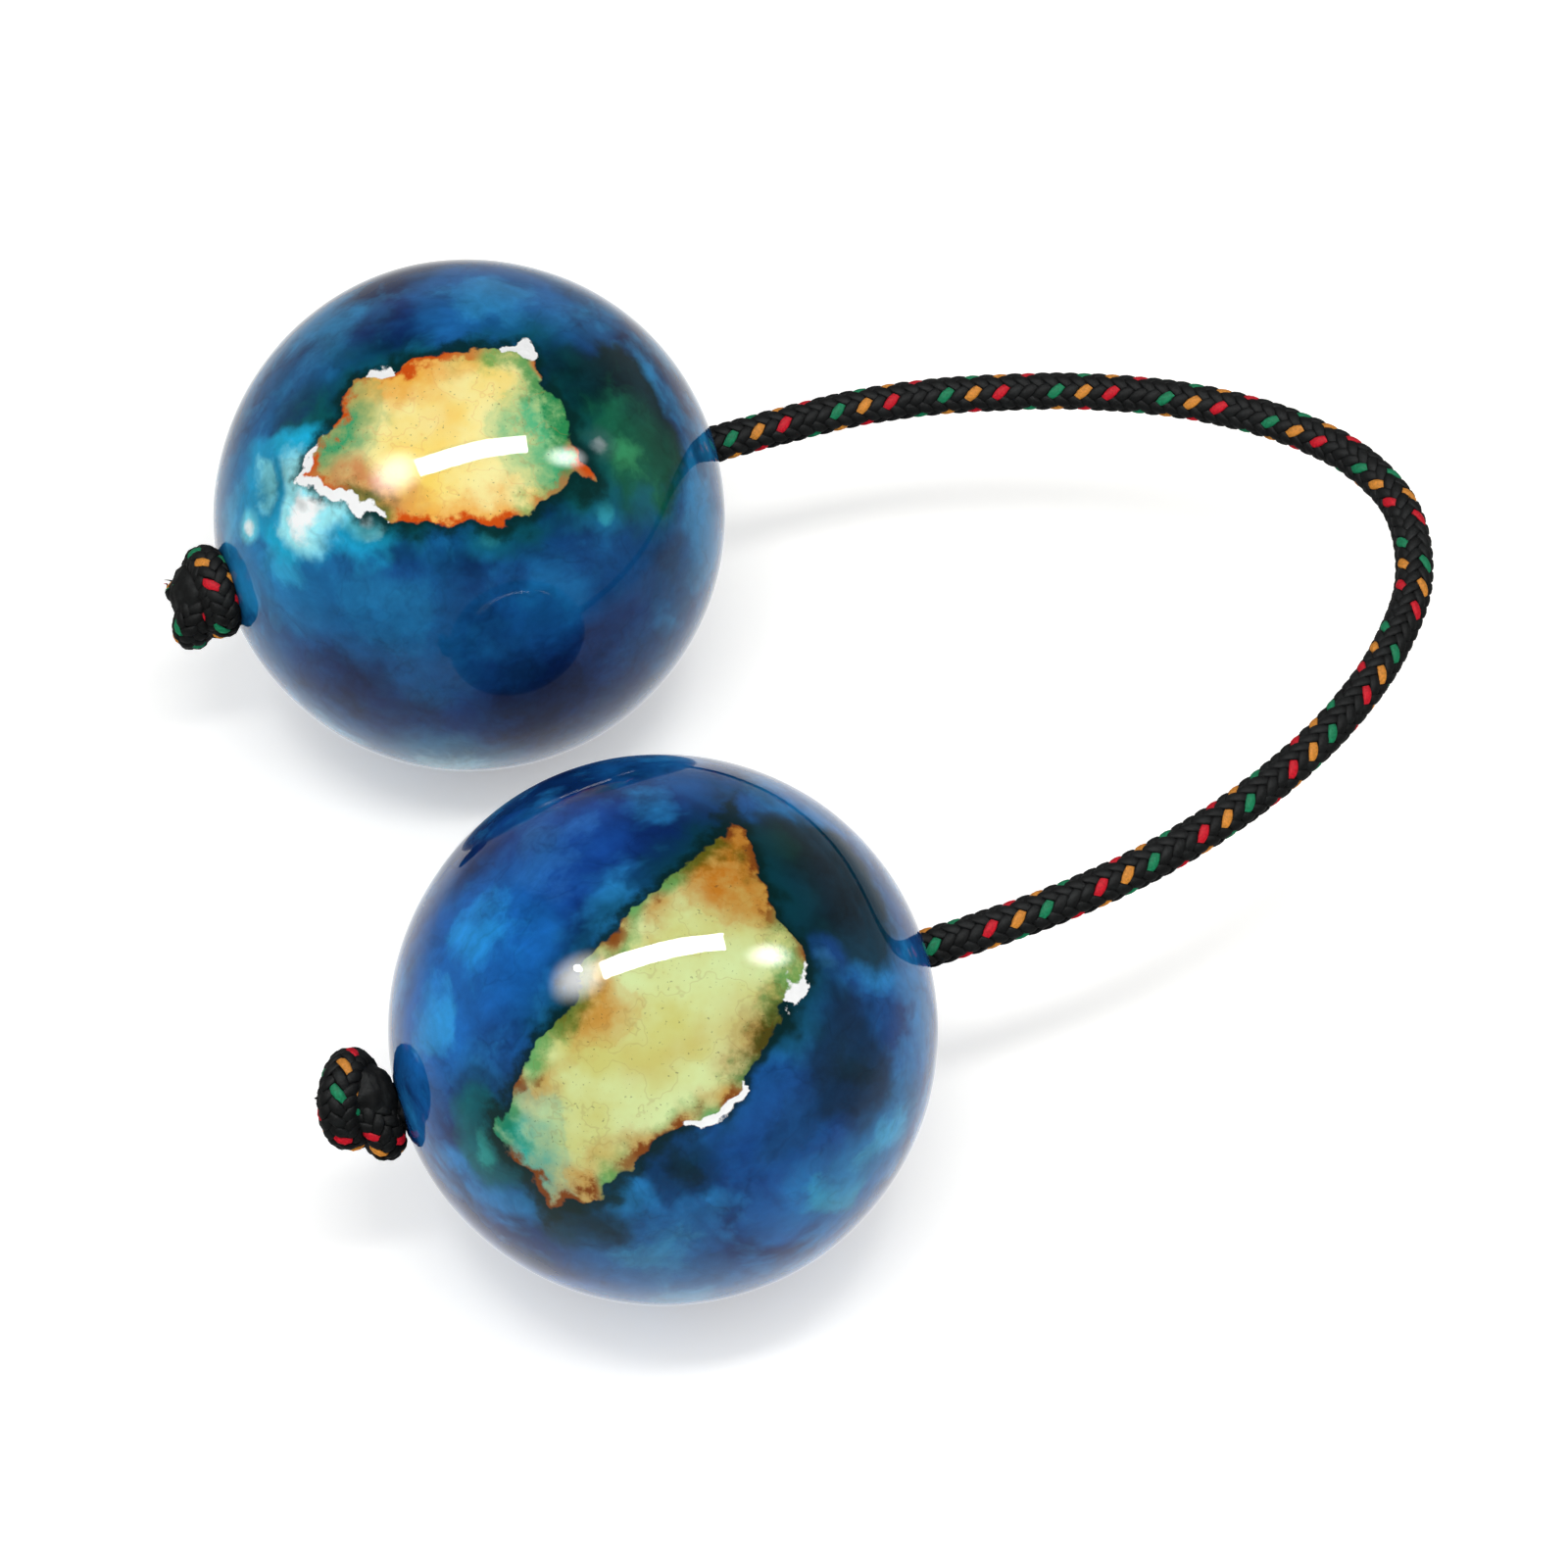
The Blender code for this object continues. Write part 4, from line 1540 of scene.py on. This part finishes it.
    def fill(self, knot: Object, side: Side) -> None:
        """Fill a knot with the turns that are pulled tight inside it.

        Args:
            knot: The knot's piece.
            side: Which gourd it stops.
        """
        lay, sizes = self.knots[side], self.sizes
        out, across, up = lay.heart_place
        heart = Vector((-self.gourds.radius - out, across, up))
        place = self.gourds.bore(side)
        mesh = bmesh.new()
        mesh.from_mesh(knot.data)
        ball = bmesh.ops.create_icosphere(mesh, subdivisions=sizes.heart_detail, radius=1.0)
        for vertex in ball["verts"]:
            lump = 1.0
            for height, fineness in sizes.heart_lumps:
                lump += height * noise.noise(vertex.co * fineness)
            vertex.co = place @ (heart + Vector(map(mul, vertex.co, lay.heart_radii)) * lump)
        mesh.faces.ensure_lookup_table()
        slot = mesh.faces[0].material_index
        for face in {face for vertex in ball["verts"] for face in vertex.link_faces}:
            face.smooth = True
            face.material_index = slot
        mesh.to_mesh(knot.data)
        mesh.free()

    def press(self, knot: Object, side: Side) -> None:
        """Flatten a knot where the pull of the cord presses it on its gourd.

        Args:
            knot: The knot's piece.
            side: Which gourd it stops.
        """
        bore = self.gourds.bore(side)
        back = bore.inverted()
        least = self.gourds.radius + self.sizes.press_gap
        for vertex in knot.data.vertices:
            local = back @ vertex.co
            if math.hypot(local.y, local.z) > self.gourds.hole_radius and local.length < least:
                vertex.co = bore @ (local.normalized() * least)

    def build_fray(self, side: Side, stations: Sequence[Station]) -> Object:
        """Spread loose fibres from the cut end of a knot's tail.

        Args:
            side: Which knot it is.
            stations: The knot's line.

        Returns:
            The tuft's piece.
        """
        lay, sizes = self.knots[side], self.sizes
        draw = random.Random(lay.seed)
        end = stations[-1]
        along = (end.place - stations[-3].place).normalized()
        reach = sizes.knot_diameter * sizes.fray_reach
        places, edges, plies = [], [], []
        for _ in range(lay.fibres):
            angle = draw.uniform(0.0, math.tau)
            off = reach * math.sqrt(draw.random())
            spread = end.out * math.cos(angle) + end.side * math.sin(angle)
            root = end.place + spread * off - along * sizes.fibre_root
            lean = spread * draw.uniform(*sizes.fibre_spread)
            lean += end.out * draw.uniform(*sizes.fibre_sway)
            length = lay.fibre_reach * draw.uniform(*sizes.fibre_lengths)
            ply = draw.choice(self.fray_plies)
            first = len(places)
            for point in range(sizes.fibre_points):
                share = point / (sizes.fibre_points - 1)
                run = length * share + sizes.fibre_root * (1.0 - share)
                places.append(root + along * run + lean * length * share ** 2)
                plies.append(float(ply.value))
                if point:
                    edges.append((first + point - 1, first + point))
        piece = new_piece(f"{side.value}_frayed_tail", places, edges, [])
        note(piece, "ply", "FLOAT", plies)
        self.fray.settle(piece, {"Fibre Radius": sizes.fibre_radius, "Material": self.yarn})
        return piece


class Shine(Enum):
    """What a lamp is for: lighting surfaces, or showing in their gloss."""

    LIGHT = "light"
    GLOSS = "gloss"


def stand(name: str, data: object, place: Triple, axes: Sequence[Vector]) -> Object:
    """Stand a lamp or a camera in the scene.

    Args:
        name: Its name.
        data: The lamp or the camera.
        place: Where it stands.
        axes: The directions of its own X, Y and Z.

    Returns:
        The object.
    """
    item = bpy.data.objects.new(name, data)
    turn = Matrix(axes).transposed().to_4x4()
    item.matrix_world = Matrix.Translation(place) @ turn
    bpy.context.scene.collection.objects.link(item)
    return item


@dataclass(frozen=True)
class SoftBox:
    """One studio lamp: where it hangs, how it lies and how bright it is.

    A soft one is oval and fades towards its rim.
    """

    name: str
    place: Triple
    length: float
    width: float
    radiance: float
    shine: Shine
    soft: bool = False
    soft_fade: tuple[float, float] = (0.5, 0.05)
    long_way: Triple = (1.0, -0.045, 0.0)

    def hang(self, target: Vector) -> Object:
        """Hang the lamp so that it faces the target.

        Args:
            target: The place that it lights.

        Returns:
            The lamp.
        """
        back = (Vector(self.place) - target).normalized()
        across = back.cross(Vector(self.long_way)).normalized()
        lamp = bpy.data.lights.new(self.name, "AREA")
        lamp.shape = "ELLIPSE" if self.soft else "RECTANGLE"
        lamp.size = self.length
        lamp.size_y = self.width
        lamp.energy = self.radiance * math.pi * self.length * self.width
        item = stand(self.name, lamp, self.place, (across.cross(back), across, back))
        item.visible_diffuse = self.shine is Shine.LIGHT
        item.visible_glossy = self.shine is Shine.GLOSS
        if self.soft:
            self.soften(lamp)
        return item

    def soften(self, lamp: Light) -> None:
        """Let a lamp's face fade towards its rim.

        Args:
            lamp: The lamp.
        """
        lamp.use_nodes = True
        sheet = NodeSheet(lamp.node_tree)
        face = sheet.out("ShaderNodeNewGeometry", {}, "Parametric")
        away = sheet.length(face - (0.5, 0.5, 0.0))
        strength = sheet.fade(away, *self.soft_fade)
        sheet.fill(lamp.node_tree.nodes["Emission"], {"Strength": strength})


@dataclass(frozen=True)
class Studio:
    """The white floor, the soft light and the camera.

    The floor's glow is what it adds for rays that are seen: most on the open
    floor far from the object, and least close under it, where ambient occlusion
    paints a contact shadow. The soft light comes mostly from the front, and the
    gloss shows bright walls under a dark ceiling.
    """

    target: Triple = (0.03, 0.0, 0.02)
    floor_size: float = 6.0
    floor_colour: tuple[float, float, float, float] = (0.87, 0.86, 0.82, 1.0)
    glow_fade: tuple[float, float] = (0.08, 0.20)
    far_glow: float = 0.47
    open_glow: float = 0.26
    least_glow: float = 0.24
    painted_shadow_reach: float = 0.009
    near_gloss: float = 0.31
    far_gloss: float = -1.20
    wall_fade: tuple[float, float] = (0.62, 0.10)
    wall_gloss: float = 0.60
    ceiling_gloss: float = 0.06
    front: Triple = (-0.30, -0.95, 0.0)
    front_light: float = 0.38
    soft_light: float = 0.54
    eye: Triple = (-0.08362, -0.33648, 0.46663)
    eye_right: Triple = (0.95203, -0.30601, 0.0)
    eye_back: Triple = (-0.1884, -0.58612, 0.78802)
    lens: float = 121.4
    sensor: float = 36.0
    clip: tuple[float, float] = (0.01, 50.0)
    lamps: tuple[SoftBox, ...] = (
        SoftBox("strip_lamp", (-0.020, -0.132, 0.465), 0.22, 0.050, 20.5, Shine.LIGHT),
        SoftBox("strip_gloss", (0.003, -0.068, 0.45), 0.385, 0.058, 170.0, Shine.GLOSS),
        SoftBox("side_gloss", (0.379, -0.139, 0.45), 0.25, 0.12, 70.0, Shine.GLOSS, True),
        SoftBox("left_gloss", (-0.278, -0.040, 0.45), 0.27, 0.21, 62.0, Shine.GLOSS, True),
    )

    def build_floor(self) -> Object:
        """Lay the white floor, which keeps the object's shadow.

        Returns:
            The floor.
        """
        half = self.floor_size / 2
        corners = [(-half, -half, 0.0), (half, -half, 0.0), (half, half, 0.0), (-half, half, 0.0)]
        floor = new_piece("floor", corners, [], [(0, 1, 2, 3)])
        material, sheet, shader = new_material("white_floor")
        sheet.tree.nodes.remove(shader)
        plain = sheet.out("ShaderNodeBsdfDiffuse", {"Color": self.floor_colour})
        far = sheet.fade(sheet.length(sheet.here() - self.target), *self.glow_fade)
        # Painted contact shadow: ambient occlusion dims the floor's glow close under the object.
        feeds = {"Distance": self.painted_shadow_reach}
        open_above = sheet.out("ShaderNodeAmbientOcclusion", feeds, "AO", samples=8)
        level = far * self.far_glow + (open_above * self.open_glow + self.least_glow)
        level = sheet.ray("Glossy") * (far * self.far_gloss + self.near_gloss) + level
        glow = sheet.out("ShaderNodeEmission", {"Color": WHITE, "Strength": level})
        seen = sheet.out("ShaderNodeAddShader", {0: plain, 1: glow})
        straight = sheet.math("MAXIMUM", sheet.ray("Camera"), sheet.ray("Glossy"))
        share = sheet.math("MAXIMUM", straight, sheet.ray("Transmission"))
        shown = sheet.out("ShaderNodeMixShader", {0: share, 1: plain, 2: seen})
        sheet.fill(sheet.tree.nodes["Material Output"], {"Surface": shown})
        floor.data.materials.append(material)
        return floor

    def build_world(self) -> World:
        """Make the white surroundings, with a darker ceiling in the gloss.

        Returns:
            The world.
        """
        world = bpy.data.worlds.new("studio")
        world.use_nodes = True
        bpy.context.scene.world = world
        sheet = NodeSheet(world.node_tree)
        around = sheet.out("ShaderNodeTexCoord", {}, "Generated")
        wall = sheet.fade(sheet.split(around)[2], *self.wall_fade)
        gloss = wall * self.wall_gloss + self.ceiling_gloss
        soft = sheet.dot(around, self.front) * self.front_light + self.soft_light
        dull = sheet.ray("Glossy") * (gloss - soft) + soft
        seen = sheet.math("MAXIMUM", sheet.ray("Camera"), sheet.ray("Transmission"))
        strength = seen * (1.0 - dull) + dull
        sheet.fill(sheet.tree.nodes["Background"], {"Color": WHITE, "Strength": strength})
        return world

    def build_camera(self) -> Object:
        """Set the camera at the photograph's viewing angle.

        Returns:
            The camera.
        """
        right, back = Vector(self.eye_right).normalized(), Vector(self.eye_back).normalized()
        lens = bpy.data.cameras.new("camera")
        lens.lens = self.lens
        lens.sensor_width = self.sensor
        lens.clip_start, lens.clip_end = self.clip
        axes = (right, back.cross(right).normalized(), back)
        camera = stand("camera", lens, self.eye, axes)
        bpy.context.scene.camera = camera
        return camera

    def build(self) -> None:
        """Set up the whole studio."""
        bpy.context.scene.view_settings.view_transform = "Standard"
        self.build_camera()
        self.build_floor()
        self.build_world()
        for lamp in self.lamps:
            lamp.hang(Vector(self.target))


def main() -> None:
    """Build the studio, the cord and the gourds."""
    logging.basicConfig(level=logging.INFO, format="%(name)s: %(message)s")
    Studio().build()
    gourd_sizes = GourdSizes()
    yarn = BraidFinish().make()
    cord = BraidedCord(gourd_sizes, CordSizes(), yarn, BraidWeave(), FrayedEnd())
    pieces = cord.build_loop()
    for side in Side:
        pieces.append(cord.build_core(side))
        pieces.extend(cord.build_knot(side))
    marbling, heap, seed_coat = Marbling(), SeedHeap(), SeedFinish().make()
    for side, lacquer in ((Side.REAR, REAR_LACQUER), (Side.FRONT, FRONT_LACQUER)):
        gourd = Gourd(side, gourd_sizes, lacquer)
        pieces.append(gourd.build_skin(marbling))
        pieces.append(gourd.build_seeds(heap, seed_coat))
    for piece in pieces:
        log.info("%s: %d faces", piece.name, len(piece.data.polygons))


if __name__ == "__main__":
    main()
